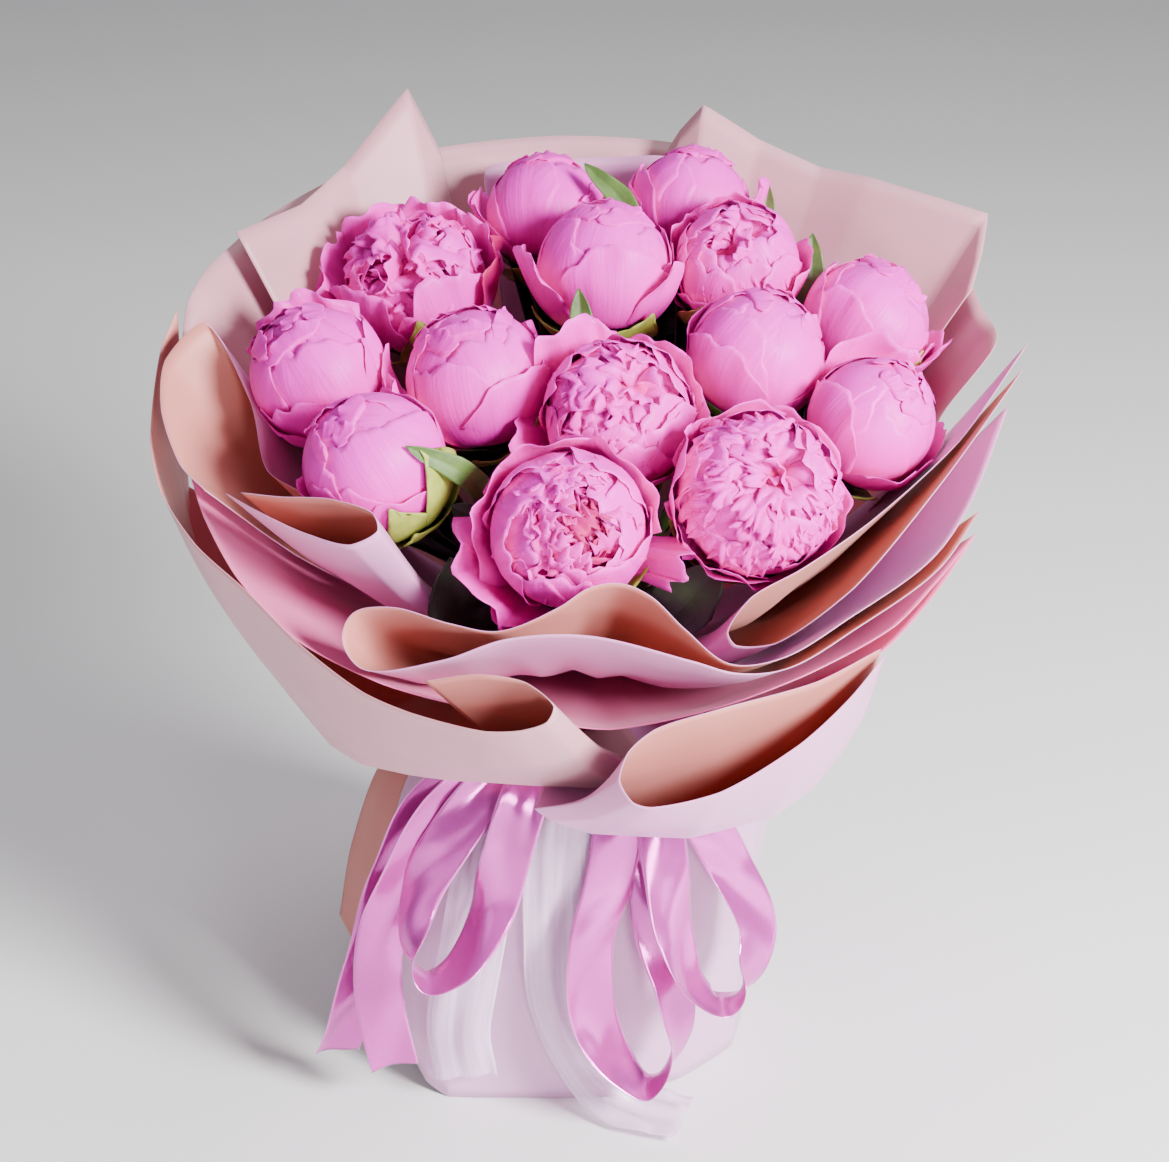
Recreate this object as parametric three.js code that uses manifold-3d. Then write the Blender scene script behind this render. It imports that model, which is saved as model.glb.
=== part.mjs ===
// A hand-tied bouquet of double peonies in two-tone wrapping paper, with satin and sheer ribbons.
// Millimetres, +Z up, seen from -Y. The origin is the middle of the central stem's cut end, on the table.
import * as THREE from "three";
import { mergeVertices } from "three/addons/utils/BufferGeometryUtils.js";
import Module from "manifold-3d";

const wasm = await Module();
wasm.setup();

const { clamp, degToRad: rad, lerp: mix, radToDeg } = THREE.MathUtils;
const vec = (x = 0, y = 0, z = 0) => new THREE.Vector3(x, y, z);
const UP = vec(0, 0, 1);

// ---- Driving dimensions ----
const GAP = 0.3; // clearance between pieces that rest on each other

const NECK = { z: 225, half: 10 }; // the binding point, and half the height where the stems run straight
const STEM = { r: 3.5, sides: 5 };
const INNER_RING_R = 7.8; // the five stems round the central one, at the neck
const OUTER_RING_R = 16.3; // the eight stems under the twine, at the neck
const SPLAY = 2.6; // how far the cut ends stand out, as a multiple of each stem's place at the neck
const SPIRAL = rad(38); // twist of the stems from the neck to their cut ends

const TWINE = { r: 1.2, turns: 3, inner: OUTER_RING_R + STEM.r + 1, sides: 12 };

const PAPER = 0.8; // paper thickness
const LAYER = 1.4; // spacing of the paper layers at the neck
const LAYER_STEP = 0.9; // each layer leaves the neck this much lower than the one inside it
const FIRST_LAYER_R = TWINE.inner + 2 * TWINE.r + 1.2;
const FOOT_LAYER = 13; // the paper foot's place among the layers, and the satin band's
const BAND_LAYER = 16.6;

const SATIN = { width: 25, thickness: 0.8 };
const SHEER = { width: 34, thickness: 0.8 };
const BAND = { low: NECK.z - 20, high: NECK.z - 4, r: FIRST_LAYER_R + LAYER * BAND_LAYER, sides: 16 };
const KNOT = { r: 9, left: -16, right: 16 };

const AIM = vec(0, 0, 190); // the blooms face away from this point
const SOFTNESS = 1.2; // how gently a bloom's side turns flat where a neighbour presses it
const CORE = 0.87; // the core of a bloom, as a share of its radius
const SHELL_PETAL = 12; // a petal that lies on the core, with most of its thickness sunk in it
const GUARD_PETAL = 8; // an outer petal that stands off the bloom, with its root sunk in
const RUFFLE = 2.4; // thickness of the short petals in the heart of an open bloom
const BASE_GAP = 2.4; // from a bloom's round underside to the top of its calyx
const CALYX = { height: 14, sides: 5 };
const LEAF = 1.0; // thickness of leaves and sepals

// ---- Materials ----
const paint = (color, roughness) => new THREE.MeshStandardMaterial({ color, roughness, metalness: 0 });
const PETAL_PINK = paint("#e56fb4", 0.6);
const LEAF_GREEN = paint("#5d7f2e", 0.55);
const BLUSH_PAPER = paint("#efd3da", 0.45);
const LILAC_PAPER = paint("#f0d5ea", 0.45);
const ROSE_PAPER = paint("#e58fb0", 0.45);
const ORCHID_SATIN = paint("#d67cc4", 0.3);
const WHITE_ORGANZA = paint("#e6dcef", 0.5);
const JUTE = paint("#b99b6b", 0.9);

// ---- Helpers ----
const group = new THREE.Group();

function place(name, geometry, material, at = vec()) {
  const mesh = new THREE.Mesh(geometry, material);
  mesh.name = name;
  mesh.position.copy(at);
  group.add(mesh);
}

// A point from its angle (degrees, 0 at the front, positive to the right), radius and height.
const polar = (angle, r, z) => vec(r * Math.sin(rad(angle)), -r * Math.cos(rad(angle)), z);

const angleOf = (p) => radToDeg(Math.atan2(p.x, -p.y));

function solidOf(geometry) {
  const bare = new THREE.BufferGeometry().setAttribute("position", geometry.getAttribute("position"));
  bare.setIndex(geometry.index);
  const merged = mergeVertices(bare, 1e-4);
  const mesh = new wasm.Mesh({
    numProp: 3,
    vertProperties: merged.attributes.position.array,
    triVerts: new Uint32Array(merged.index.array),
  });
  return new wasm.Manifold(mesh);
}

// The geometry of a union. Only its largest body is kept: a loose scrap is dropped.
function fused(geometries) {
  const bodies = wasm.Manifold.union(geometries.map(solidOf)).decompose();
  const body = bodies.reduce((best, other) => (other.volume() > best.volume() ? other : best));
  const mesh = body.getMesh();
  const position = new THREE.BufferAttribute(mesh.vertProperties, mesh.numProp);
  return new THREE.BufferGeometry()
    .setAttribute("position", position)
    .setIndex(new THREE.BufferAttribute(mesh.triVerts, 1));
}

// A blade of even thickness on surface(u, v), with u and v from 0 to 1. Both faces are split alike.
// The share `outer` of the thickness lies on the side of the surface's normal.
// The function `settle` moves each finished point.
function blade(surface, columns, rows, thickness, outer = 0.5, settle = (p) => p) {
  const step = 1e-3;
  const inside = (t) => clamp(t, step, 1 - step);
  const points = [];
  for (const side of [outer, outer - 1]) {
    for (let j = 0; j <= rows; j++) {
      for (let i = 0; i <= columns; i++) {
        const [u, v] = [inside(i / columns), inside(j / rows)];
        const across = surface(u + step, v).sub(surface(u - step, v));
        const along = surface(u, v + step).sub(surface(u, v - step));
        const normal = across.cross(along).normalize();
        points.push(settle(surface(i / columns, j / rows).addScaledVector(normal, side * thickness)));
      }
    }
  }
  const wide = columns + 1;
  const back = wide * (rows + 1);
  const faces = [];
  const quad = (a, b, c, d) => faces.push(a, b, c, a, c, d);
  for (let j = 0; j < rows; j++) {
    for (let i = 0; i < columns; i++) {
      const [a, b, c, d] = [j * wide + i, j * wide + i + 1, (j + 1) * wide + i + 1, (j + 1) * wide + i];
      quad(a, b, c, d);
      quad(back + a, back + d, back + c, back + b);
    }
  }
  for (let i = 0; i < columns; i++) {
    const last = rows * wide + i;
    quad(i + 1, i, back + i, back + i + 1);
    quad(last, last + 1, back + last + 1, back + last);
  }
  for (let j = 0; j < rows; j++) {
    const [left, right] = [j * wide, j * wide + columns];
    quad(left, left + wide, back + left + wide, back + left);
    quad(right + wide, right, back + right, back + right + wide);
  }
  return new THREE.BufferGeometry().setFromPoints(points).setIndex(faces);
}

const through = (points) => new THREE.CatmullRomCurve3(points, false, "centripetal");

// A solid of revolution round Z. Its outline is a list of [radius, height].
function turnedSolid(outline, sides) {
  const profile = outline.map(([r, z]) => new THREE.Vector2(r, z));
  return new THREE.LatheGeometry(profile, sides).rotateX(Math.PI / 2);
}

// ---- Paper: each sheet is gathered at the neck and opens to its rim ----
// Where a sheet folds back on itself at rim point `turn`, the leaf after it lies a layer further out or in.
const leafShift = ({ turn = Infinity, turns = "out" }, i) => {
  const shift = i < turn ? 0 : i > turn ? 1 : 0.5;
  return turns === "out" ? shift : 1 - shift;
};

// A curve round the neck, with a point for each rim point at the same angle.
function neckCurve(sheet, height, extra = 0, step = 0) {
  const points = sheet.rim.map(([x, y], i) => {
    const layer = sheet.layer + leafShift(sheet, i);
    return polar(angleOf(vec(x, y)), FIRST_LAYER_R + LAYER * layer + extra, height - step * layer);
  });
  return through(points);
}

// A surface that passes through a row of curves, straight from each to the next.
function loft(curves) {
  return (u, v) => {
    const row = v * (curves.length - 1);
    const j = Math.min(curves.length - 2, Math.floor(row));
    return curves[j].getPoint(u).lerp(curves[j + 1].getPoint(u), row - j);
  };
}

// A curve part of the way from one curve to another: `outward` is its share in plan, `upward` in height.
const between = (a, b, outward, upward) => ({
  getPoint: (u) => {
    const [p, q] = [a.getPoint(u), b.getPoint(u)];
    return vec(mix(p.x, q.x, outward), mix(p.y, q.y, outward), mix(p.z, q.z, upward));
  },
});

// A plain sheet leaves the neck in a steepening flare. A collar turns out over a lip just above the neck,
// runs out to its crease `belly`, and turns up from there to its rim.
function sheetSurface(sheet) {
  const low = neckCurve(sheet, NECK.z - 2 * NECK.half);
  const high = neckCurve(sheet, NECK.z + NECK.half + 1, 0, LAYER_STEP);
  const rim = through(sheet.rim.map((p) => vec(...p)));
  const curves = [low, high];
  if (sheet.belly) {
    const lip = neckCurve(sheet, NECK.z + NECK.half + 4, 8, LAYER_STEP);
    const belly = through(sheet.belly.map((p) => vec(...p)));
    curves.push(lip, between(lip, belly, 0.55, 0.4), belly, between(belly, rim, 0.55, 0.45), rim);
  } else {
    curves.push(between(high, rim, 0.4, 0.29), between(high, rim, 0.74, 0.61), rim);
  }
  return { at: loft(curves), rows: curves.length - 1 };
}

// Sheets from the inside out. Each rim is followed from left to right along the back or the front.
const SHEETS = [
  { name: "paper_liner", layer: 0, material: LILAC_PAPER,
    rim: [[-53, 158, 415], [-54, 178, 430], [-14, 187, 432], [20, 189, 433], [48, 182, 434],
      [49, 166, 418]] },
  { name: "paper_back_left", layer: 1, material: BLUSH_PAPER,
    rim: [[-181, 75, 426], [-151, 116, 428], [-130, 152, 439], [-97, 184, 473], [-88, 189, 453],
      [-80, 192, 435]] },
  { name: "paper_back_right", layer: 1, material: BLUSH_PAPER,
    rim: [[43, 196, 429], [53, 196, 446], [66, 194, 461], [97, 184, 444], [129, 162, 435],
      [154, 143, 435], [213, 103, 427], [209, 86, 413], [202, 68, 397]] },
  { name: "paper_back", layer: 2, material: BLUSH_PAPER,
    rim: [[-202, 38, 402], [-182, 96, 416], [-139, 160, 428], [-80, 200, 435], [-14, 217, 437],
      [49, 214, 434], [98, 197, 426], [157, 160, 417], [200, 104, 396], [208, 60, 386], [209, 24, 382]] },
  { name: "paper_side_left", layer: 0, material: LILAC_PAPER, turn: 3,
    rim: [[-140, -50, 333], [-157, -40, 340], [-167, -12, 366], [-191, 12, 399], [-209, -8, 386],
      [-209, -30, 368], [-198, -52, 348], [-184, -68, 341]] },
  { name: "paper_roll_left", layer: 2, material: LILAC_PAPER, turn: 4, turns: "in",
    rim: [[-173, -78, 344], [-155, -100, 344], [-132, -118, 341], [-109, -132, 341], [-96, -132, 348],
      [-99, -122, 353], [-120, -108, 354], [-145, -94, 349], [-165, -82, 346]] },
  { name: "paper_side_right", layer: 3, material: BLUSH_PAPER, turn: 5,
    rim: [[220, -12, 397], [183, -54, 362], [135, -106, 341], [102, -128, 327], [78, -136, 316],
      [67, -138, 299], [71, -138, 292], [90, -138, 293], [127, -122, 314], [171, -84, 352],
      [216, -24, 387]] },
  { name: "paper_wave", layer: 5, material: LILAC_PAPER, turn: 13,
    rim: [[210, -26, 369], [186, -80, 340], [164, -115, 326], [124, -150, 313], [90, -170, 301],
      [65, -173, 301], [44, -166, 313], [16, -157, 333], [-11, -162, 323], [-39, -166, 313],
      [-62, -160, 315], [-89, -149, 319], [-108, -143, 314], [-112, -145, 303], [-103, -152, 293],
      [-65, -166, 303], [-35, -174, 313], [2, -179, 317], [48, -182, 306], [71, -182, 297]] },
  { name: "paper_rose", layer: 7, material: ROSE_PAPER, turn: 11,
    rim: [[-195, -46, 344], [-185, -72, 329], [-168, -98, 310], [-135, -126, 289], [-87, -143, 272],
      [-40, -148, 263], [12, -154, 256], [62, -166, 274], [99, -162, 294], [141, -132, 304],
      [163, -106, 315], [191, -70, 319], [165, -110, 302], [142, -134, 288]] },
  { name: "paper_collar_left", layer: 9.3, material: LILAC_PAPER, turn: 12, turns: "in",
    rim: [[-206, 22, 402], [-213, 4, 386], [-215, -32, 353], [-208, -56, 336], [-188, -85, 320],
      [-161, -112, 310], [-134, -137, 297], [-103, -160, 290], [-80, -172, 290], [-46, -190, 286],
      [-29, -195, 287], [-18, -195, 290], [-16, -191, 295], [-27, -184, 300], [-43, -179, 303],
      [-66, -172, 295]],
    belly: [[-206, 22, 305], [-203, 0, 290], [-188, -30, 270], [-169, -50, 251], [-149, -62, 226],
      [-128, -75, 205], [-111, -95, 205], [-86, -115, 210], [-63, -128, 214], [-41, -136, 217],
      [-12, -141, 218], [22, -140, 216], [42, -131, 215], [32, -127, 220], [10, -128, 223],
      [-14, -129, 224]] },
  { name: "paper_collar_right", layer: 11.5, material: BLUSH_PAPER, turn: 5,
    rim: [[139, -140, 291], [108, -160, 284], [61, -184, 282], [32, -192, 276], [20, -197, 267],
      [16, -202, 255], [22, -208, 247], [30, -209, 245], [62, -202, 249], [99, -184, 264],
      [123, -162, 276], [141, -141, 288]],
    belly: [[134, -92, 222], [106, -110, 206], [62, -132, 205], [22, -144, 207], [-8, -149, 209],
      [-24, -150, 211], [-16, -153, 206], [3, -153, 199], [50, -149, 194], [92, -130, 195],
      [113, -110, 200], [128, -93, 210]] },
];
for (const sheet of SHEETS) {
  const { at, rows } = sheetSurface(sheet);
  place(sheet.name, blade(at, sheet.rim.length - 1, rows, PAPER), sheet.material);
}

// ---- Blooms: centre, radius, how far open (0 bud to 1 full) and the turn of the petals in degrees ----
const BLOOMS = [
  { name: "01", at: [-88, 87, 394], r: 37, open: 0.9, turn: 20 },
  { name: "02", at: [-21, 130, 418], r: 32, open: 0.1, turn: 200 },
  { name: "03", at: [57, 136, 420], r: 32, open: 0.15, turn: 75 },
  { name: "04", at: [10, 66, 408], r: 35, open: 0.2, turn: 140 },
  { name: "05", at: [80, 74, 408], r: 33, open: 0.5, turn: 310 },
  { name: "06", at: [146, 55, 383], r: 33, open: 0.1, turn: 35 },
  { name: "07", at: [-134, -4, 376], r: 35, open: 0.15, turn: 100 },
  { name: "08", at: [-101, -72, 357], r: 35, open: 0, turn: 250 },
  { name: "09", at: [-54, -8, 376], r: 35.5, open: 0.1, turn: 165 },
  { name: "10", at: [17, -40, 370], r: 37, open: 0.7, turn: 60 },
  { name: "11", at: [86, 0, 385], r: 34, open: 0, turn: 330 },
  { name: "12", at: [142, -32, 363], r: 32, open: 0.1, turn: 15 },
  { name: "13", at: [-7, -112, 340], r: 38, open: 0.8, turn: 120 },
  { name: "14", at: [83, -88, 348], r: 39, open: 1, turn: 280 },
];
for (const b of BLOOMS) {
  b.centre = vec(...b.at);
  b.axis = b.centre.clone().sub(AIM).normalize();
  b.side = UP.clone().cross(b.axis).normalize();
  b.across = b.axis.clone().cross(b.side);
  b.turned = rad(b.turn);
  b.isOpen = b.open > 0.4;
}

// The planes that press a bloom flat, from its centre: first those towards its neighbours, then the paper's.
for (const b of BLOOMS) {
  const others = BLOOMS.filter((o) => o !== b);
  b.flats = others.map((o) => {
    const normal = o.centre.clone().sub(b.centre);
    const reach = (normal.length() * b.r) / (b.r + o.r) - GAP / 2;
    return { normal: normal.normalize(), reach };
  });
}
for (const sheet of SHEETS) {
  const points = samplesOf(sheet);
  for (const b of BLOOMS) pressInto(b, points);
}

function samplesOf(sheet) {
  const { at } = sheetSurface(sheet);
  const [across, up] = [3 * (sheet.rim.length - 1), 20];
  const points = [];
  for (let j = 0; j <= up; j++) {
    for (let i = 0; i <= across; i++) points.push(at(i / across, j / up));
  }
  return points;
}

// Adds the planes that a sheet presses into a bloom: each time one more, where the sheet reaches in deepest.
function pressInto(b, points) {
  const widest = 1.2 * b.r;
  const most = 4;
  for (let n = 0; n < most; n++) {
    let [deepest, flat] = [0, null];
    for (const point of points) {
      const normal = point.clone().sub(b.centre);
      const reach = normal.length() - PAPER / 2 - 1.6 * GAP;
      if (reach > widest) continue;
      normal.normalize();
      const free = b.flats.reduce((least, f) => {
        const facing = f.normal.dot(normal);
        return facing > 0 ? Math.min(least, f.reach / facing) : least;
      }, widest);
      if (free - reach > deepest) [deepest, flat] = [free - reach, { normal, reach }];
    }
    if (flat) b.flats.push(flat);
  }
}

// Eases a point of a bloom back behind each plane that presses it.
function pressed(b, p) {
  for (const { normal, reach } of b.flats) {
    const inside = reach - p.dot(normal);
    p.addScaledVector(normal, Math.min(0, inside - SOFTNESS * Math.log(1 + Math.exp(inside / SOFTNESS))));
  }
  return p;
}

// A point of a bloom, from its centre. The azimuth is round the bloom's axis, the tilt is from its stem end,
// and `sideways` turns off the meridian of that azimuth. All are in radians.
function onBloom(b, azimuth, tilt, sideways, radius) {
  const [ca, sa, ct, st] = [Math.cos(azimuth), Math.sin(azimuth), Math.cos(tilt), Math.sin(tilt)];
  const out = vec(st * ca, st * sa, -ct);
  const round = vec(ct * ca, ct * sa, st).cross(out);
  const d = out.multiplyScalar(Math.cos(sideways)).addScaledVector(round, Math.sin(sideways));
  return vec()
    .addScaledVector(b.side, d.x * radius)
    .addScaledVector(b.across, d.y * radius)
    .addScaledVector(b.axis, d.z * radius);
}

// A petal from its foot (tilt `from`) to its tip (tilt `to`), broad above the middle, with a round end.
// One side stands higher than the other by `lean`, so that each petal lies over the next.
function petal(b, { azimuth, from, to, half, thickness, lift, lean, flare, wave = 0 }) {
  const tipDrop = rad(15);
  const surface = (u, v) => {
    const s = 2 * u - 1;
    const width = half * (0.42 + 0.58 * Math.sin(Math.PI * (0.1 + 0.6 * v)));
    const tilt = mix(from, to - tipDrop * s * s, v);
    const curl = flare * v ** 3 + wave * v * Math.sin(2.6 * Math.PI * s + azimuth);
    const sunk = 0.16 * Math.max(0, 1 - 4 * v);
    return onBloom(b, azimuth, tilt, s * width, b.r * (1 + lift * v + lean * s - sunk) + curl);
  };
  return blade(surface, 3, 3, thickness, 0.2, (p) => pressed(b, p));
}

// The petals that lie on the core. They reach over the top of a closed bloom, and make an open one's cup.
function shellPetals(b) {
  const count = b.isOpen ? 4 : 3;
  const half = rad(b.isOpen ? 44 : 66);
  const cup = b.isOpen ? mix(138, 118, b.open) : 160;
  const flare = b.isOpen ? 2.5 * b.open : 0;
  return Array.from({ length: count }, (_, k) => {
    const azimuth = b.turned + (2 * Math.PI * k) / count;
    const to = rad(cup + 7 * Math.sin(2.3 * k + b.turned));
    const shape = { half, thickness: SHELL_PETAL, lift: 0.01, lean: 0.08, flare };
    return petal(b, { azimuth, from: rad(18), to, ...shape });
  });
}

// The two broad outer petals that open away from the bloom.
function guardPetals(b) {
  const count = 2;
  const flare = 2 + 3 * b.open;
  return Array.from({ length: count }, (_, k) => {
    const azimuth = b.turned + 0.6 + (2 * Math.PI * k) / count;
    const to = rad(mix(106, 92, b.open) + 12 * Math.sin(1.7 * k + 2 * b.turned));
    const shape = { half: rad(54), thickness: GUARD_PETAL, lift: 0.13, lean: 0.02, flare, wave: 0.7 };
    return petal(b, { azimuth, from: rad(16), to, ...shape });
  });
}

// A ring of short petals that stand up out of the heart of an open bloom.
function ruffles(b, count, tilt, half) {
  return Array.from({ length: count }, (_, k) => {
    const azimuth = b.turned + (2 * Math.PI * (k + 0.5)) / count;
    const height = 0.98 + 0.05 * Math.sin(5 * k + b.turned);
    const surface = (u, v) => {
      const s = 2 * u - 1;
      const sway = 0.1 * Math.sin(1.7 * Math.PI * s + 2 * k + b.turned) * v;
      const radius = b.r * mix(0.7, height - 0.1 * s * s, v);
      return onBloom(b, azimuth + sway, tilt + 0.5 * sway, s * half, radius);
    };
    return blade(surface, 2, 1, RUFFLE, 0.5, (p) => pressed(b, p));
  });
}

// The ball that the petals grow from. One of its corners points down, and comes to rest on the calyx.
function core(b) {
  const ball = new THREE.IcosahedronGeometry(b.r * CORE, 1);
  const corner = vec(0, 1, (1 + Math.sqrt(5)) / 2).normalize();
  ball.applyQuaternion(new THREE.Quaternion().setFromUnitVectors(corner, b.axis.clone().negate()));
  const corners = ball.getAttribute("position");
  for (let i = 0; i < corners.count; i++) {
    const p = vec().fromBufferAttribute(corners, i);
    const isFoot = p.angleTo(b.axis) > rad(170);
    const moved = isFoot ? p.setLength(b.r + BASE_GAP - GAP) : pressed(b, p);
    corners.setXYZ(i, moved.x, moved.y, moved.z);
  }
  return ball.setIndex([...Array(corners.count).keys()]);
}

function bloom(b) {
  const parts = [core(b), ...shellPetals(b), ...guardPetals(b)];
  if (b.isOpen) {
    parts.push(...ruffles(b, 5, rad(mix(150, 142, b.open)), rad(18)));
    parts.push(...ruffles(b, 1, rad(176), rad(20)));
  }
  return fused(parts);
}

for (const b of BLOOMS) {
  place(`bloom_${b.name}`, bloom(b), PETAL_PINK, b.centre);
}

// ---- Stems: each runs from under its bloom through its place at the neck down to its cut end ----
const CENTRAL = "10";
const INNER_RING = ["13", "11", "05", "04", "09"];

function neckPlace(b) {
  if (b.name === CENTRAL) return vec();
  const inner = INNER_RING.indexOf(b.name);
  if (inner >= 0) return polar((360 * inner) / INNER_RING.length, INNER_RING_R, 0);
  return polar(angleOf(b.centre), OUTER_RING_R, 0);
}

function roundOutline(r, sides) {
  const corner = (k) => new THREE.Vector2(r, 0).rotateAround(new THREE.Vector2(), (2 * Math.PI * k) / sides);
  return new THREE.Shape(Array.from({ length: sides }, (_, k) => corner(k)));
}

// The point that a stem passes through on its way up into the calyx.
const under = (b) => b.centre.clone().addScaledVector(b.axis, -(b.r + 2 * CALYX.height));

function stem(b) {
  const at = neckPlace(b);
  const cut = at.clone().multiplyScalar(SPLAY).applyAxisAngle(UP, SPIRAL);
  const route = [
    b.centre.clone().addScaledVector(b.axis, -(b.r + BASE_GAP + 2)),
    under(b),
    at.clone().setZ(NECK.z + NECK.half),
    at.clone().setZ(NECK.z),
    at.clone().setZ(NECK.z - NECK.half),
    cut.clone().multiplyScalar(0.97).setZ(8),
    cut,
  ];
  const path = through(route);
  const stops = [0, 1, 1.5, 2, 3, 4, 4.5, 5, 6]; // sections stand at these points along the route
  const steps = stops.length - 1;
  path.getUtoTmapping = (u) => stops[Math.round(u * steps)] / (route.length - 1);
  const section = roundOutline(STEM.r, STEM.sides);
  const tube = new THREE.ExtrudeGeometry(section, { extrudePath: path, steps, bevelEnabled: false });
  const corners = tube.getAttribute("position");
  for (let i = 0; i < corners.count; i++) {
    if (corners.getZ(i) < STEM.r) corners.setZ(i, 0); // the cut end lies flat on the table
  }
  return tube;
}

function calyx(b) {
  const top = 0.3 * b.r;
  const { height, sides } = CALYX;
  const outline = [[0, 0], [STEM.r + 0.8, 0], [top, 0.8 * height], [top, height], [0, height]];
  const cup = turnedSolid(outline, sides);
  const upright = new THREE.Quaternion().setFromUnitVectors(UP, b.axis);
  const foot = b.centre.clone().addScaledVector(b.axis, -(b.r + BASE_GAP + height));
  return cup.applyQuaternion(upright).translate(foot.x, foot.y, foot.z);
}

// Green sepals that curve up round the underside of the bloom, clear of its outer petals.
function sepals(b) {
  const count = 2;
  return Array.from({ length: count }, (_, k) => {
    const azimuth = b.turned + 0.2 + (2 * Math.PI * k) / count;
    const surface = (u, v) => {
      const width = rad(4 + 44 * v * (1 - v));
      const tilt = rad(mix(3, 44 + 8 * Math.sin(3 * k + b.turned), v));
      return onBloom(b, azimuth, tilt, (2 * u - 1) * width, b.r * (1 + 0.05 * v) + BASE_GAP + 6.5 - 3 * v);
    };
    return blade(surface, 1, 1, LEAF, 0.5, (p) => pressed(b, p).add(b.centre));
  });
}

// ---- Leaves: the stem and height where each leaves it, its middle, its tip and its half width ----
const LEAVES = [
  { stem: "02", from: 300, middle: [20, 150, 386], tip: [7, 166, 428], half: 10 },
  { stem: "03", from: 300, middle: [90, 126, 386], tip: [99, 146, 421], half: 8 },
  { stem: "06", from: 300, middle: [118, 100, 374], tip: [119, 112, 405], half: 8 },
  { stem: "08", from: 270, middle: [-62, -92, 318], tip: [-50, -84, 352], half: 10 },
  { stem: "13", from: 270, middle: [-60, -108, 300], tip: [-72, -110, 330], half: 9 },
];

function leaf({ stem: name, from, middle, tip, half }) {
  const b = BLOOMS.find((o) => o.name === name);
  const bottom = neckPlace(b).setZ(NECK.z + NECK.half);
  const top = under(b);
  const root = bottom.clone().lerp(top, (from - bottom.z) / (top.z - bottom.z));
  const rib = through([root, vec(...middle), vec(...tip)]);
  const surface = (u, v) => {
    const s = 2 * u - 1;
    const p = rib.getPoint(v);
    const ahead = rib.getTangent(v);
    const sideways = ahead.clone().cross(b.axis).normalize();
    const width = 1.5 + half * Math.sin(Math.PI * v ** 1.3) * (0.93 + 0.07 * Math.cos(9 * Math.PI * v));
    const fold = sideways.clone().cross(ahead).multiplyScalar(0.25 * width * Math.abs(s));
    return p.addScaledVector(sideways, s * width * Math.min(1, 20 * (1.0125 - v))).add(fold);
  };
  return blade(surface, 2, 4, LEAF);
}

for (const b of BLOOMS) {
  const leaves = LEAVES.filter((l) => l.stem === b.name).map(leaf);
  place(`stem_${b.name}`, fused([stem(b), calyx(b), ...sepals(b), ...leaves]), LEAF_GREEN);
}

// ---- Twine round the stems: turns that lie on each other, fused into one ring ----
function twineRing() {
  const { r, turns, inner, sides } = TWINE;
  const from = NECK.z - r * turns;
  const outline = [[inner, from]];
  for (let k = 0; k < turns; k++) {
    const z = from + 2 * r * k;
    outline.push([inner + r, z], [inner + 2 * r, z + r]);
  }
  outline.push([inner + r, from + 2 * r * turns], [inner, from + 2 * r * turns], [inner, from]);
  return turnedSolid(outline, sides);
}
place("twine_tie", fused([twineRing()]), JUTE);

// ---- Foot: a stiff sheet rolled round the stems, down to the table. Its left edge curls out and up ----
const FOOT = [
  { angle: -79, shoulder: [-100, -20, 172], waist: [-122, -22, 120], hem: [-132, -22, 72] },
  { angle: -62, shoulder: [-84, -48, 176], waist: [-100, -58, 112], hem: [-104, -62, 42] },
  { angle: -46, shoulder: [-66, -68, 178], waist: [-80, -78, 100], hem: [-84, -82, 6] },
  { angle: -36, shoulder: [-56, -78, 180], waist: [-68, -84, 95], hem: [-72, -88, 0] },
  { angle: -12, shoulder: [-20, -94, 182], waist: [-20, -95, 95], hem: [-18, -89, 0] },
  { angle: 12, shoulder: [20, -94, 182], waist: [20, -94, 95], hem: [14, -88, 0] },
  { angle: 40, shoulder: [62, -74, 178], waist: [62, -72, 90], hem: [50, -72, 0] },
  { angle: 66, shoulder: [90, -40, 172], waist: [86, -38, 90], hem: [80, -40, 0] },
  { angle: 95, shoulder: [96, 8, 172], waist: [92, 8, 90], hem: [88, 8, 0] },
  { angle: 130, shoulder: [74, 62, 174], waist: [70, 58, 90], hem: [68, 56, 0] },
  { angle: 165, shoulder: [25, 93, 176], waist: [24, 88, 90], hem: [23, 86, 0] },
  { angle: 200, shoulder: [-33, 90, 176], waist: [-31, 85, 90], hem: [-30, 83, 0] },
  { angle: 235, shoulder: [-78, 54, 174], waist: [-74, 52, 90], hem: [-71, 50, 0] },
  { angle: 264, shoulder: [-93, 9, 172], waist: [-88, 8, 90], hem: [-85, 8, 0] },
  { angle: 286, shoulder: [-86, -26, 170], waist: [-82, -26, 90], hem: [-78, -26, 0] },
];

// Its first half lies one layer further out than its second, which it overlaps.
function foot() {
  const ring = (z) => {
    const r = (k) => FIRST_LAYER_R + LAYER * (FOOT_LAYER + (k < FOOT.length / 2 ? 1 : 0));
    return through(FOOT.map(({ angle }, k) => polar(angle, r(k), z)));
  };
  const row = (key) => through(FOOT.map((column) => vec(...column[key])));
  const shoulder = row("shoulder");
  const neck = ring(NECK.z - 22);
  const slope = between(shoulder, neck, 0.5, 0.7);
  const curves = [row("hem"), row("waist"), shoulder, slope, neck, ring(NECK.z - 3)];
  return blade(loft(curves), FOOT.length, curves.length - 1, PAPER);
}
place("paper_foot", foot(), BLUSH_PAPER);

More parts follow.
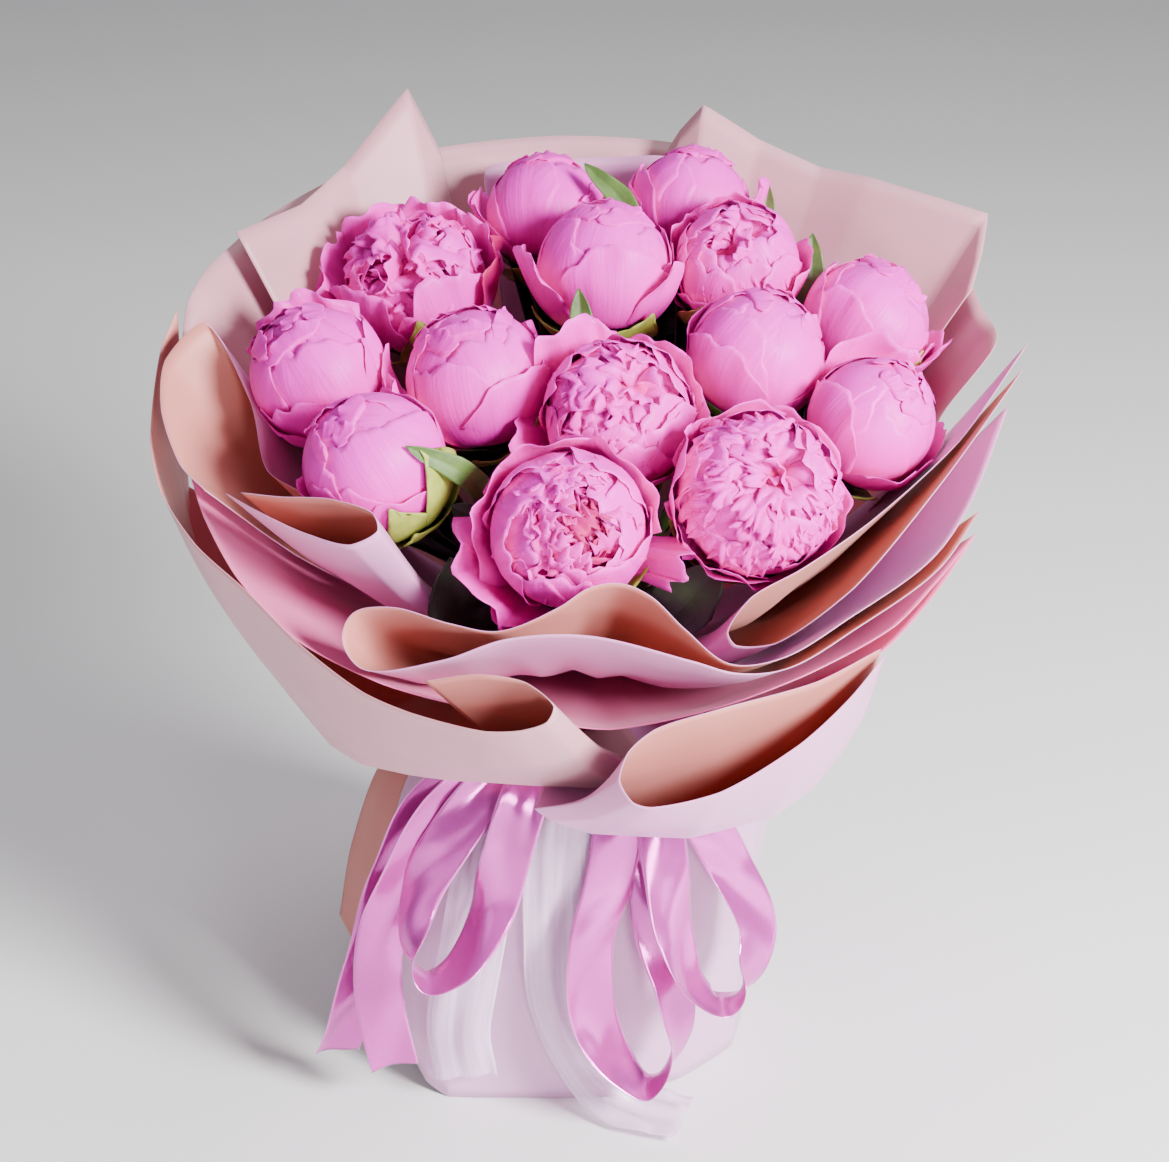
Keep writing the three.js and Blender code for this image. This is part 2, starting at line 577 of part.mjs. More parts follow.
// ---- Ribbons: strips along routes of [x, y, z, yaw]. The yaw turns the width, in degrees ----
function ribbon({ width, thickness }, { route, steps }) {
  const middle = through(route.map(([x, y, z]) => vec(x, y, z)));
  const yaws = through(route.map(([, , , yaw]) => vec(yaw, 0, 0)));
  const surface = (u, v) => {
    const sideways = vec(1, 0, 0).applyAxisAngle(UP, rad(yaws.getPoint(v).x));
    const ahead = middle.getTangent(v);
    sideways.addScaledVector(ahead, -sideways.dot(ahead)).normalize();
    return middle.getPoint(v).addScaledVector(sideways, (u - 0.5) * width);
  };
  return blade(surface, 1, steps, thickness);
}

function band() {
  const { low, high, r, sides } = BAND;
  const puff = 1.2; // how far the gathered satin stands out between its edges
  const outline = [[r, low], [r + puff, low + 6], [r + puff, high - 4], [r, high]];
  outline.push([r - SATIN.thickness, high], [r - SATIN.thickness, low], [r, low]);
  return turnedSolid(outline, sides);
}

// The knot of a bow, on the front of the band.
function knot(x) {
  const y = -Math.sqrt(BAND.r ** 2 - x ** 2) - 4;
  const z = (BAND.low + BAND.high) / 2;
  return new THREE.SphereGeometry(KNOT.r, 6, 4).scale(1, 0.75, 0.9).translate(x, y, z);
}

const LEFT_BOW = [
  { steps: 6, route: [[-17, -57.8, 214, 0], [-44, -92, 205, 10], [-71, -102, 182, 15], [-89, -104, 150, 15],
    [-103, -104, 111, 10], [-106, -104, 84, 10], [-104, -102, 56, 10], [-99, -100, 28, 5]] },
  { steps: 6, route: [[-19, -58.4, 213, 3], [-54, -88, 207, 15], [-89, -92, 178, 30], [-106, -88, 139, 45],
    [-116, -88, 102, 50], [-123, -86, 64, 45], [-131, -80, 24, 40]] },
  { steps: 11, route: [[-15, -58, 214.5, -2], [-40, -94, 202, 10], [-68, -108, 168, -10],
    [-85, -112, 135, -40], [-88, -122, 111, -70], [-78, -128, 99, -85], [-64, -124, 104, -60],
    [-48, -114, 129, -30], [-38, -112, 165, 0], [-28, -104, 197, 0], [-11, -60, 216, 0]] },
];
const RIGHT_BOW = [
  { steps: 12, route: [[12, -57, 214, 0], [18, -92, 202, 0], [17, -106, 178, 0], [12, -110, 144, 10],
    [4, -116, 113, 20], [3, -118, 77, 20], [16, -120, 44, 50], [34, -122, 33, 80], [47, -118, 58, 60],
    [46, -114, 85, 35], [38, -110, 115, 15], [33, -102, 153, 0], [28, -98, 190, 0], [18, -58, 213, 0]] },
  { steps: 11, route: [[18, -57, 212.5, 3], [32, -92, 200, 0], [41, -112, 155, 20], [46, -120, 119, 45],
    [54, -124, 94, 70], [69, -122, 82, 85], [82, -112, 88, 60], [88, -98, 108, 40], [76, -92, 140, 35],
    [54, -92, 182, 20], [21, -58, 213, 0]] },
];
const SHEER_BOW = [
  { steps: 8, route: [[-4, -51, 202.5, 0], [-9, -80, 199, 0], [-12, -102, 184, 0], [-14, -103, 150, 0],
    [-14, -102, 110, 0], [-12, -99, 66, 0], [2, -100, 32, 10], [21, -106, 12, 25], [39, -112, 7, 30],
    [52, -116, 6, 30]] },
  { steps: 6, route: [[-6, -51, 202.5, 0], [-30, -78, 198, -15], [-42, -92, 182, -20], [-48, -95, 160, -20],
    [-55, -97, 115, -15], [-62, -98, 78, -12], [-66, -98, 45, -10], [-62, -99, 20, -10]] },
];

const strips = (size, list) => fused(list.map((strip) => ribbon(size, strip)));
place("satin_band", fused([band(), knot(KNOT.left), knot(KNOT.right)]), ORCHID_SATIN);
place("satin_bow_left", strips(SATIN, LEFT_BOW), ORCHID_SATIN);
place("satin_bow_right", strips(SATIN, RIGHT_BOW), ORCHID_SATIN);
place("sheer_ribbon", strips(SHEER, SHEER_BOW), WHITE_ORGANZA);

export default group;
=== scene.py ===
import bpy
import numpy as np
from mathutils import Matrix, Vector
from numpy import (
    clip, concatenate, cos, cross, exp, linspace, maximum, minimum, pi, radians, sin, sqrt, stack,
)
from numpy.linalg import norm


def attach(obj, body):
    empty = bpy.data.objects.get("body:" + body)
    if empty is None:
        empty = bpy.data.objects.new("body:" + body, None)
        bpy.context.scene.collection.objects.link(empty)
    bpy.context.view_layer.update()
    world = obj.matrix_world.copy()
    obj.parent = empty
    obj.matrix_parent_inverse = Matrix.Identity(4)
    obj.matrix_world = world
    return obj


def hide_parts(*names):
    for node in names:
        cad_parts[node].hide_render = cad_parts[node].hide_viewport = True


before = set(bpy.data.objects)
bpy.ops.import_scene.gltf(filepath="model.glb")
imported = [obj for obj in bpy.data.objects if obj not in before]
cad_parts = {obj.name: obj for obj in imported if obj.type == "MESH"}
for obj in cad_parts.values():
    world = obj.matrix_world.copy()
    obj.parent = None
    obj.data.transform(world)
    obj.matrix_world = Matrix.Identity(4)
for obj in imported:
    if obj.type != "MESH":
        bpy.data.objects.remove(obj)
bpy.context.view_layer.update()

MM = 0.001
RNG_SEED = 7

# ---- Driving dimensions, as in the part's source ----
GAP = 0.3
NECK_Z, NECK_HALF = 225, 10
STEM_R = 3.5
INNER_RING_R, OUTER_RING_R = 7.8, 16.3
SPLAY, SPIRAL = 2.6, radians(38)
TWINE_R, TWINE_TURNS = 1.2, 3
TWINE_INNER = OUTER_RING_R + STEM_R + 1
PAPER = 0.4
LAYER, LAYER_STEP = 1.4, 0.9
FIRST_LAYER_R = TWINE_INNER + 2 * TWINE_R + 1.2
FOOT_LAYER, BAND_LAYER = 13, 16.6
BAND_LOW, BAND_HIGH = NECK_Z - 20, NECK_Z - 4
BAND_R = FIRST_LAYER_R + LAYER * BAND_LAYER
SATIN_WIDTH, SHEER_WIDTH = 25, 34
AIM = np.array([0, 0, 190.0])
BASE_GAP, CALYX_HEIGHT = 2.4, 14
UP = np.array([0, 0, 1.0])

# ---- Camera: the photo's view ----
CAMERA_TARGET = Vector((0, 0, 0.261))
CAMERA_DISTANCE, CAMERA_ELEVATION = 1.435, radians(25)
CAMERA_LENS = 85


def new_object(name, data):
    made = bpy.data.objects.new(name, data)
    bpy.context.scene.collection.objects.link(made)
    return made


def add_camera():
    camera = new_object("camera", bpy.data.cameras.new("camera"))
    camera.data.lens = CAMERA_LENS
    camera.data.sensor_width = 36
    back = Vector((0, -cos(CAMERA_ELEVATION), sin(CAMERA_ELEVATION)))
    camera.location = CAMERA_TARGET + CAMERA_DISTANCE * back
    camera.rotation_euler = (pi / 2 - CAMERA_ELEVATION, 0, 0)
    bpy.context.scene.camera = camera


# ---- Curves and grids of points ----
def vec(*values):
    return np.array(values, float)


def unit(a):
    return a / maximum(norm(a, axis=-1, keepdims=True), 1e-9)


def mix(a, b, t):
    return a + (b - a) * t


def span_of(points, t):
    """The points, and for each share t of the way the span that it lies in and how far along."""
    p = np.asarray(points, float)
    x = clip(t, 0, 1) * (len(p) - 1)
    i = minimum(x.astype(int), len(p) - 2)
    return p, i, (x - i).reshape((-1,) + (1,) * (p.ndim - 1))


def spline(points, t):
    """A centripetal curve through the points, whose first axis counts them, at each share t of the way."""
    p, i, w = span_of(points, t)
    p = concatenate([[2 * p[0] - p[1]], p, [2 * p[-1] - p[-2]]])
    p0, p1, p2, p3 = p[i], p[i + 1], p[i + 2], p[i + 3]

    def knot(a, b):
        return maximum(norm(a - b, axis=-1, keepdims=True) ** 0.5, 1e-6)

    d0, d1, d2 = knot(p0, p1), knot(p1, p2), knot(p2, p3)
    m1 = ((p1 - p0) / d0 - (p2 - p0) / (d0 + d1) + (p2 - p1) / d1) * d1
    m2 = ((p2 - p1) / d1 - (p3 - p1) / (d1 + d2) + (p3 - p2) / d2) * d1
    return p1 + m1 * w + (3 * (p2 - p1) - 2 * m1 - m2) * w**2 + (2 * (p1 - p2) + m1 + m2) * w**3


def folded(points, t, crisp):
    """The same curve, but it turns at each point more sharply the nearer crisp is to 1."""
    p, i, w = span_of(points, t)
    return mix(spline(p, t), mix(p[i], p[i + 1], w), crisp)


def polar(angle, r, z):
    a = radians(angle)
    return stack([r * sin(a), -r * cos(a), z + 0 * a], axis=-1)


def angle_of(p):
    return np.degrees(np.arctan2(p[..., 0], -p[..., 1]))


def across_along(columns, rows):
    """A petal's or leaf's own coordinates: from -1 to 1 across it and from 0 to 1 along it."""
    return np.meshgrid(linspace(-1, 1, columns), linspace(0, 1, rows))


class Skin:
    """Collects closed shells and makes them one piece. A fact is a value of each point for the material."""

    def __init__(self):
        self.points, self.faces, self.kinds, self.facts = [], [], [], []
        self.count = 0

    def _points(self, points, facts):
        """Takes the points and gives their numbers, in the same layout."""
        shape = points.shape[:-1]
        self.points.append(points.reshape(-1, 3))
        self.facts.append(stack([np.broadcast_to(f, shape).ravel() for f in facts], axis=-1))
        numbers = self.count + np.arange(np.prod(shape)).reshape(shape)
        self.count += numbers.size
        return numbers

    def _faces(self, a, b, c, d, kind=0):
        """Faces whose corners have those numbers. Where d is -1 they have three corners."""
        faces = stack(np.broadcast_arrays(a, b, c, d), axis=-1).reshape(-1, 4)
        self.faces.append(faces)
        self.kinds.append(np.full(len(faces), kind))

    def add(self, grid, thickness, facts, front=0, back=1, outer=0.5):
        """A thin sheet: grid[j, i] runs across with i and along with j. outer is the share of the thickness
        on the front."""
        normal = unit(cross(np.gradient(grid, axis=1), np.gradient(grid, axis=0)))
        step = np.asarray(thickness)[..., None] * normal
        near, far = self._points(grid + outer * step, facts), self._points(grid + (outer - 1) * step, facts)
        self._faces(near[:-1, :-1], near[:-1, 1:], near[1:, 1:], near[1:, :-1], front)
        self._faces(far[:-1, :-1], far[1:, :-1], far[1:, 1:], far[:-1, 1:], back)
        near, far = (concatenate([k[0, ::-1], k[1:, 0], k[-1, 1:], k[-2::-1, -1]]) for k in (near, far))
        self._faces(near[:-1], near[1:], far[1:], far[:-1], front)

    def add_rings(self, rings, ends, facts):
        """A surface through the rings to a point at each end. A fact is one value, or one a ring."""
        index = self._points(rings, [np.reshape(f, (-1, 1)) for f in facts])
        foot, top = self._points(ends, [np.ravel(f)[-1] for f in facts])
        after = np.roll(index, -1, axis=1)
        self._faces(index[:-1], after[:-1], after[1:], index[1:])
        self._faces(foot, after[0], index[0], -1)
        self._faces(top, index[-1], after[-1], -1)

    def add_tube(self, path, radii, sides, facts):
        """A round tube along a path."""
        ahead = unit(np.gradient(path, axis=0))
        side = cross(ahead[0], vec(0.3, 0.9, 0.2))
        turn = linspace(0, 2 * pi, sides, endpoint=False)[:, None]
        rings = []
        for at, way, radius in zip(path, ahead, np.broadcast_to(radii, len(path))):
            side = unit(side - way * side.dot(way))
            rings.append(at + radius * (cos(turn) * side + sin(turn) * cross(way, side)))
        self.add_rings(np.array(rings), path[[0, -1]], facts)

    def add_ball(self, centre, shape, facts, rows=20, columns=28):
        """A ball: shape moves points given by their unit directions, round the centre."""
        tilt = linspace(0, pi, rows + 1)[1:-1, None]
        turn = linspace(0, 2 * pi, columns, endpoint=False)
        rings = stack([sin(tilt) * cos(turn), sin(tilt) * sin(turn), -cos(tilt) + 0 * turn], axis=-1)
        self.add_rings(shape(rings) + centre, shape(stack([-UP, UP])) + centre, facts)

    def build(self, name, slot, materials, replaces=None, fact_names=("along", "across")):
        """Makes the piece and, on some, hides the solid that it stands for. The slot is not used."""
        points = concatenate(self.points) * MM
        faces = [f[:3] if f[3] < 0 else f for f in concatenate(self.faces).tolist()]
        mesh = bpy.data.meshes.new(name)
        mesh.from_pydata(points.tolist(), [], faces)
        mesh.polygons.foreach_set("material_index", concatenate(self.kinds).astype(np.int32))
        mesh.polygons.foreach_set("use_smooth", np.ones(len(faces), bool))
        for fact_name, values in zip(fact_names, concatenate(self.facts).T):
            attribute = mesh.attributes.new(fact_name, "FLOAT", "POINT")
            attribute.data.foreach_set("value", values.astype(np.float32))
        for made in materials:
            mesh.materials.append(made)
        mesh.update()
        piece = new_object(name, mesh)
        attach(piece, "root")
        if replaces:
            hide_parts(replaces)
        return piece


# ---- Materials ----
class Shader:
    """A Principled material. Its constants sit on the shader's own sockets."""

    def __init__(self, name, color, roughness, **sockets):
        self.material = bpy.data.materials.new(name)
        self.material.use_nodes = True
        self.tree = self.material.node_tree
        self.inputs = self.tree.nodes["Principled BSDF"].inputs
        for socket, value in dict(sockets, Base_Color=color, Roughness=roughness).items():
            self.feed(self.inputs[socket.replace("_", " ")], value)

    def feed(self, socket, value):
        """Sets the socket to a number, a vector or a colour, or links a node's output to it."""
        if isinstance(value, bpy.types.NodeSocket):
            self.tree.links.new(value, socket)
        else:
            socket.default_value = (*value, 1) if socket.type == "RGBA" else value

    def node(self, kind, **settings):
        made = self.tree.nodes.new(kind)
        for key, value in settings.items():
            if key in made.inputs:
                self.feed(made.inputs[key], value)
            else:
                setattr(made, key, value)
        return made

    def fact(self, name):
        return self.node("ShaderNodeAttribute", attribute_name=name).outputs["Fac"]

    def math(self, operation, *values, clamp=False):
        made = self.node("ShaderNodeMath", operation=operation, use_clamp=clamp)
        for socket, value in zip(made.inputs, values):
            self.feed(socket, value)
        return made.outputs[0]

    def times(self, a, b):
        return self.math("MULTIPLY", a, b)

    def less(self, a, b):
        """a - b, but never below 0."""
        return self.math("SUBTRACT", a, b, clamp=True)

    def edge(self, start):
        """1 beyond that share of the half width, else 0."""
        return self.math("GREATER_THAN", self.math("ABSOLUTE", self.fact("across")), start)

    def blend(self, share, a, b):
        made = self.node("ShaderNodeMix", data_type="RGBA")
        for socket, value in ((0, share), (6, a), (7, b)):
            self.feed(made.inputs[socket], value)
        return made.outputs[2]

    def ramp(self, share, *stops):
        made = self.node("ShaderNodeValToRGB", Fac=share)
        elements = made.color_ramp.elements
        for _ in stops[2:]:
            elements.new(0.5)
        for element, (position, color) in zip(elements, stops):
            element.position, element.color = position, (*color, 1)
        return made.outputs["Color"]

    def noise(self, place, scale, detail, roughness):
        return self.node("ShaderNodeTexNoise", Vector=place, Scale=scale, Detail=detail,
                         Roughness=roughness).outputs["Fac"]

    def grain(self, scale, detail=3, roughness=0.5):
        """Noise all through the piece."""
        return self.noise(self.node("ShaderNodeTexCoord").outputs["Object"], scale, detail, roughness)

    def threads(self, across, along, detail, roughness=0.5, tone=0):
        """Noise on the surface, by how often it repeats across and along it."""
        x, y, z = (self.times(self.fact(name), count) if count else 0
                   for name, count in (("across", across), ("along", along), ("tone", tone)))
        place = self.node("ShaderNodeCombineXYZ", X=x, Y=y, Z=z).outputs[0]
        return self.noise(place, 1, detail, roughness)

    def surface(self, color, height, strength, distance):
        """Joins up the colour and the bump, and gives the material."""
        bump = self.node("ShaderNodeBump", Strength=strength, Distance=distance, Height=height)
        self.feed(self.inputs["Base Color"], color)
        self.feed(self.inputs["Normal"], bump.outputs["Normal"])
        return self.material


# The deep pink is both a petal's colour at its root and the painted shade under a bloom; the lilac pink is
# only a painted sheen on the tops of the blooms.
DEEP_PINK = (0.70, 0.004, 0.28)
MID_PINK = (0.92, 0.005, 0.56)
PALE_PINK = (0.94, 0.012, 0.59)
RIM_PINK = (0.95, 0.045, 0.65)
PAINTED_SHEEN_PINK = (0.92, 0.022, 0.63)
CORAL = (0.46, 0.003, 0.09)


def petal_material():
    """Pink: deep at the root, pale at the rim, with fine veins along the petal, painted shade in deep pink
    underneath and a painted lilac sheen on top.
    """
    m = Shader("petal", MID_PINK, 0.42, Subsurface_Weight=0.2, Subsurface_Scale=0.004,
               Subsurface_Radius=(1.0, 0.25, 0.5), Sheen_Weight=0.03, Sheen_Roughness=0.35,
               Sheen_Tint=(0.95, 0.8, 1.0), Specular_IOR_Level=0.18)
    painted_shade, veins = m.fact("painted_shade"), m.threads(16, 1.6, 4, 0.65, tone=40)
    color = m.ramp(m.fact("along"), (0, DEEP_PINK), (0.5, MID_PINK), (0.93, PALE_PINK), (1, RIM_PINK))
    color = m.blend(m.times(m.less(veins, 0.47), 1.5), color, RIM_PINK)
    color = m.blend(m.times(m.grain(45), 0.3), color, MID_PINK)
    # Painted shade: deep pink where the petal faces down, away from the light, with some random tone mixed
    # in.
    color = m.blend(m.times(m.math("ADD", painted_shade, m.times(m.fact("tone"), 0.3)), 0.44), color, DEEP_PINK)
    # Painted highlight: a lilac sheen where the petal faces up to the light.
    color = m.blend(m.times(m.less(0.5, painted_shade), 0.75), color, PAINTED_SHEEN_PINK)
    return m.surface(m.blend(m.fact("glow"), color, CORAL), veins, 0.45, 0.0009)


def green_material(name, dark, light):
    """Waxy green, with veins along the leaf and lighter patches."""
    m = Shader(name, light, 0.42, Specular_IOR_Level=0.5, Subsurface_Weight=0.1, Subsurface_Scale=0.003)
    fibres = m.threads(14, 2.5, 3)
    patches = m.ramp(m.grain(90, 4, 0.6), (0.3, dark), (0.75, light))
    return m.surface(m.blend(m.times(fibres, 0.35), patches, light), fibres, 0.3, 0.0008)


def paper_material(name, color, sheen_color, roughness):
    """Matte florist paper: a soft pearl gloss, faint fibres and slight tone changes."""
    m = Shader(name, color, roughness, Specular_IOR_Level=0.35, Sheen_Weight=0.15, Sheen_Roughness=0.5,
               Sheen_Tint=sheen_color, Subsurface_Weight=0.15, Subsurface_Scale=0.002)
    lighter, darker = (tuple(c * share + more for c in color) for share, more in ((1.06, 0.01), (0.93, 0)))
    fibres = m.grain(900, 3, 0.65)
    tone = m.ramp(m.grain(9), (0.3, darker), (0.7, lighter))
    return m.surface(m.blend(m.times(fibres, 0.1), tone, darker), fibres, 0.06, 0.0004)


def satin_material():
    """Satin: a strong stretched gloss, with fine threads and a dense selvedge."""
    m = Shader("satin", (0.62, 0.07, 0.45), 0.18, Metallic=0.6, Specular_IOR_Level=0.9, Sheen_Weight=0.25,
               Sheen_Roughness=0.3, Sheen_Tint=(1, 0.75, 0.95), Anisotropic=0.5)
    threads = m.threads(120, 30, 2)
    tone = m.ramp(threads, (0.3, (0.56, 0.05, 0.40)), (0.7, (0.68, 0.09, 0.50)))
    return m.surface(m.blend(m.times(m.edge(0.95), 0.5), tone, (0.82, 0.26, 0.68)), threads, 0.12, 0.0003)


def organza_material():
    """Sheer organza: an open weave, see-through, with denser creases and edges."""
    m = Shader("organza", (0.88, 0.84, 0.93), 0.35, Specular_IOR_Level=0.6, Sheen_Weight=0.5,
               Sheen_Roughness=0.3)
    weave = m.threads(60, 200, 2)
    creases = m.times(m.less(m.threads(2.6, 0.6, 3), 0.22), 1.5)
    m.feed(m.inputs["Alpha"], m.math("ADD", creases, m.times(m.edge(0.94), 0.3), clamp=True))
    tone = m.ramp(weave, (0.3, (0.80, 0.52, 0.80)), (0.7, (0.92, 0.74, 0.94)))
    return m.surface(tone, weave, 0.2, 0.0003)


def twine_material():
    """Jute: twisted fibres in light and dark tan."""
    m = Shader("jute", (0.42, 0.30, 0.17), 0.9, Specular_IOR_Level=0.2)
    fibres = m.threads(9, 260, 4, 0.7)
    tone = m.ramp(fibres, (0.3, (0.24, 0.16, 0.08)), (0.7, (0.55, 0.42, 0.26)))
    return m.surface(tone, fibres, 0.8, 0.0006)


PETAL = petal_material()
STEM_GREEN = green_material("stem_green", (0.03, 0.07, 0.012), (0.10, 0.18, 0.035))
LEAF_GREEN = green_material("leaf_green", (0.03, 0.07, 0.012), (0.10, 0.19, 0.035))
# A near-black green: painted shade, for the leaves in the gaps between the blooms.
PAINTED_SHADE_GREEN = green_material("inner_leaf_painted_shade_green", (0.003, 0.008, 0.002), (0.012, 0.028, 0.006))
CALYX_GREEN = green_material("calyx_green", (0.17, 0.24, 0.03), (0.42, 0.46, 0.08))
LILAC = paper_material("paper_lilac", (0.66, 0.25, 0.52), (1, 0.9, 1), 0.36)
BLUSH = paper_material("paper_blush", (0.54, 0.25, 0.31), (1, 0.92, 0.92), 0.42)
PEARL = paper_material("paper_pearl", (0.62, 0.33, 0.55), (1, 0.92, 1), 0.36)
DUSTY = paper_material("paper_dusty", (0.52, 0.17, 0.15), (0.9, 0.6, 0.55), 0.5)
ROSE = paper_material("paper_rose", (0.72, 0.14, 0.34), (1, 0.7, 0.8), 0.42)
SATIN = satin_material()
ORGANZA = organza_material()
JUTE = twine_material()

# ---- Paper ----
# Each sheet is gathered at the neck and opens to its rim, past its belly if it has one. Where it folds back
# on itself at rim point `turn`, the leaf that follows lies one layer further out, or in. `front` is the face
# that its normal points from. `crisp` is how sharply its rim turns at each point, and `pleats` how far its
# pleats spread up from the neck and how far out from the middle they end.
SHEETS = [
    dict(name="paper_liner", layer=0, front=LILAC, back=LILAC, slot="paper_lilac", rim=[
        (-53, 158, 415), (-54, 178, 430), (-14, 187, 432), (20, 189, 433), (48, 182, 434), (49, 166, 418)]),
    dict(name="paper_back_left", layer=1, crisp=0.9, front=BLUSH, back=LILAC, slot="paper_blush", rim=[
        (-181, 75, 426), (-151, 116, 428), (-130, 152, 439), (-97, 184, 473), (-88, 189, 453),
        (-80, 192, 435)]),
    dict(name="paper_back_right", layer=1, crisp=0.9, front=BLUSH, back=LILAC, slot="paper_blush", rim=[
        (43, 196, 429), (53, 196, 446), (66, 194, 461), (97, 184, 444), (129, 162, 435), (154, 143, 435),
        (213, 103, 427), (209, 86, 413), (202, 68, 397)]),
    dict(name="paper_back", layer=2, pleats=(95, 260), front=BLUSH, back=LILAC, slot="paper_blush", rim=[
        (-196, -14, 340), (-202, 14, 372), (-202, 38, 402), (-182, 96, 416), (-139, 160, 428),
        (-80, 200, 435), (-14, 217, 437), (49, 214, 434), (98, 197, 426), (157, 160, 417), (200, 104, 396),
        (208, 60, 386), (209, 24, 382), (178, 2, 352), (158, -24, 332)]),
    dict(name="paper_side_left", layer=0, turn=3, front=LILAC, back=DUSTY, slot="paper_lilac", rim=[
        (-140, -50, 333), (-157, -40, 340), (-167, -12, 366), (-191, 12, 399), (-209, -8, 386),
        (-209, -30, 368), (-198, -52, 348), (-184, -68, 341)]),
    dict(name="paper_roll_left", layer=2, turn=4, turns="in", front=LILAC, back=DUSTY, slot="paper_lilac",
        rim=[
        (-173, -78, 344), (-155, -100, 344), (-132, -118, 341), (-109, -132, 341), (-96, -132, 348),
        (-99, -122, 353), (-120, -108, 354), (-145, -94, 349), (-165, -82, 346)]),
    dict(name="paper_side_right", layer=3, turn=5, front=LILAC, back=DUSTY, slot="paper_blush", rim=[
        (220, -12, 397), (183, -54, 362), (135, -106, 341), (102, -128, 327), (78, -136, 316),
        (67, -138, 299), (71, -138, 292), (90, -138, 293), (127, -122, 314), (171, -84, 352),
        (216, -24, 387)]),
    dict(name="paper_wave", layer=5, turn=15, crisp=0.0, front=LILAC, back=DUSTY, slot="paper_lilac", rim=[
        (210, -26, 369), (186, -80, 340), (164, -115, 326), (124, -150, 313), (90, -170, 301),
        (66, -173, 300), (46, -166, 314), (30, -160, 328), (16, -157, 333), (2, -158, 331),
        (-12, -162, 323), (-39, -166, 313), (-62, -160, 314), (-89, -149, 317), (-108, -143, 311),
        (-113, -146, 299), (-104, -154, 288), (-66, -168, 299), (-35, -174, 313), (2, -179, 317),
        (48, -182, 306), (70, -179, 298), (93, -174, 298), (127, -153, 309), (167, -118, 322),
        (190, -82, 336)]),
    dict(name="paper_rose", layer=7, turn=11, front=ROSE, back=ROSE, slot="paper_rose", rim=[
        (-195, -46, 344), (-185, -72, 329), (-168, -98, 310), (-138, -130, 292), (-94, -153, 279),
        (-44, -160, 268), (12, -156, 257), (62, -167, 274), (102, -167, 291), (145, -137, 301),
        (168, -110, 312), (191, -70, 319), (165, -110, 302), (142, -134, 288), (112, -144, 272),
        (76, -150, 256)]),
    dict(name="paper_collar_left", layer=9.3, turn=12, turns="in", front=BLUSH, back=DUSTY,
        slot="paper_lilac", rim=[
        (-206, 22, 402), (-213, 4, 386), (-215, -32, 353), (-208, -56, 336), (-188, -85, 320),
        (-161, -112, 308), (-134, -137, 292), (-103, -161, 279), (-80, -174, 275), (-46, -190, 274),
        (-29, -195, 277), (-17, -196, 282), (-14, -192, 288), (-27, -184, 296), (-48, -178, 297),
        (-74, -169, 289)], belly=[
        (-206, 22, 305), (-203, 0, 290), (-188, -30, 270), (-169, -50, 251), (-149, -62, 226),
        (-128, -75, 205), (-111, -95, 205), (-86, -115, 210), (-63, -128, 214), (-41, -136, 217),
        (-12, -141, 218), (22, -140, 216), (42, -131, 215), (32, -127, 220), (10, -128, 223),
        (-14, -129, 224)]),
    dict(name="paper_collar_right", layer=11.5, turn=5, front=LILAC, back=DUSTY, slot="paper_blush", rim=[
        (139, -140, 291), (108, -160, 284), (61, -184, 282), (32, -192, 276), (20, -197, 267),
        (16, -202, 255), (22, -208, 247), (30, -209, 245), (62, -202, 249), (99, -184, 264),
        (123, -162, 276), (141, -141, 288)], belly=[
        (134, -92, 222), (106, -110, 206), (62, -132, 205), (22, -144, 207), (-8, -149, 209),
        (-24, -150, 211), (-16, -153, 206), (3, -153, 199), (50, -149, 194), (92, -130, 195),
        (113, -110, 200), (128, -93, 210)]),
]
CRISP, BELLY_CRISP, HEM_CRISP = 0.25, 0.8, 0.6

# ---- Foot: the stiff sheet rolled round the stems ----
# For each angle at the neck, the points of its shoulder, waist and hem.
FOOT = [
    (-79, (-100, -20, 172), (-122, -22, 120), (-132, -22, 72)),
    (-62, (-84, -48, 176), (-100, -58, 112), (-104, -62, 42)),
    (-46, (-66, -68, 178), (-80, -78, 100), (-84, -82, 6)),
    (-36, (-56, -78, 180), (-68, -84, 95), (-72, -88, 0)),
    (-12, (-20, -94, 182), (-20, -95, 95), (-18, -89, 0)),
    (12, (20, -94, 182), (20, -94, 95), (14, -88, 0)),
    (40, (62, -74, 178), (62, -72, 90), (50, -72, 0)),
    (66, (90, -40, 172), (86, -38, 90), (80, -40, 0)),
    (95, (96, 8, 172), (92, 8, 90), (88, 8, 0)),
    (130, (74, 62, 174), (70, 58, 90), (68, 56, 0)),
    (165, (25, 93, 176), (24, 88, 90), (23, 86, 0)),
    (200, (-33, 90, 176), (-31, 85, 90), (-30, 83, 0)),
    (235, (-78, 54, 174), (-74, 52, 90), (-71, 50, 0)),
    (264, (-93, 9, 172), (-88, 8, 90), (-85, 8, 0)),
    (286, (-86, -26, 170), (-82, -26, 90), (-78, -26, 0)),
]
FOOT_CREASE = 13  # up to this column of the grid, the sheet's end turns its dusty reverse out

# Pleats: how many go round, how deep they are, and for the wrap and the foot the height where they are
# deepest, how far they spread from it, how far out they begin and end, and their share at the front.
PLEATS, PLEAT_DEPTH = 19, 9
WRAP_PLEATS = dict(height=NECK_Z + 46, nearest=36)
WRAP_PLEAT_SPREAD = (42, 160)
FOOT_PLEATS = dict(height=NECK_Z - 45, spread=120, nearest=44, furthest=160, front=0.3)


def neck_row(sheet, height, extra=0.0, step=0.0):
    """The sheet's points at the neck, one below each point of its rim."""
    rim = vec(*sheet["rim"])
    shift = 0.5 + 0.5 * np.sign(np.arange(len(rim)) - sheet.get("turn", np.inf))
    if sheet.get("turns") == "in":
        shift = 1 - shift
    layer = sheet["layer"] + shift
    return polar(angle_of(rim), FIRST_LAYER_R + LAYER * layer + extra, height - step * layer)


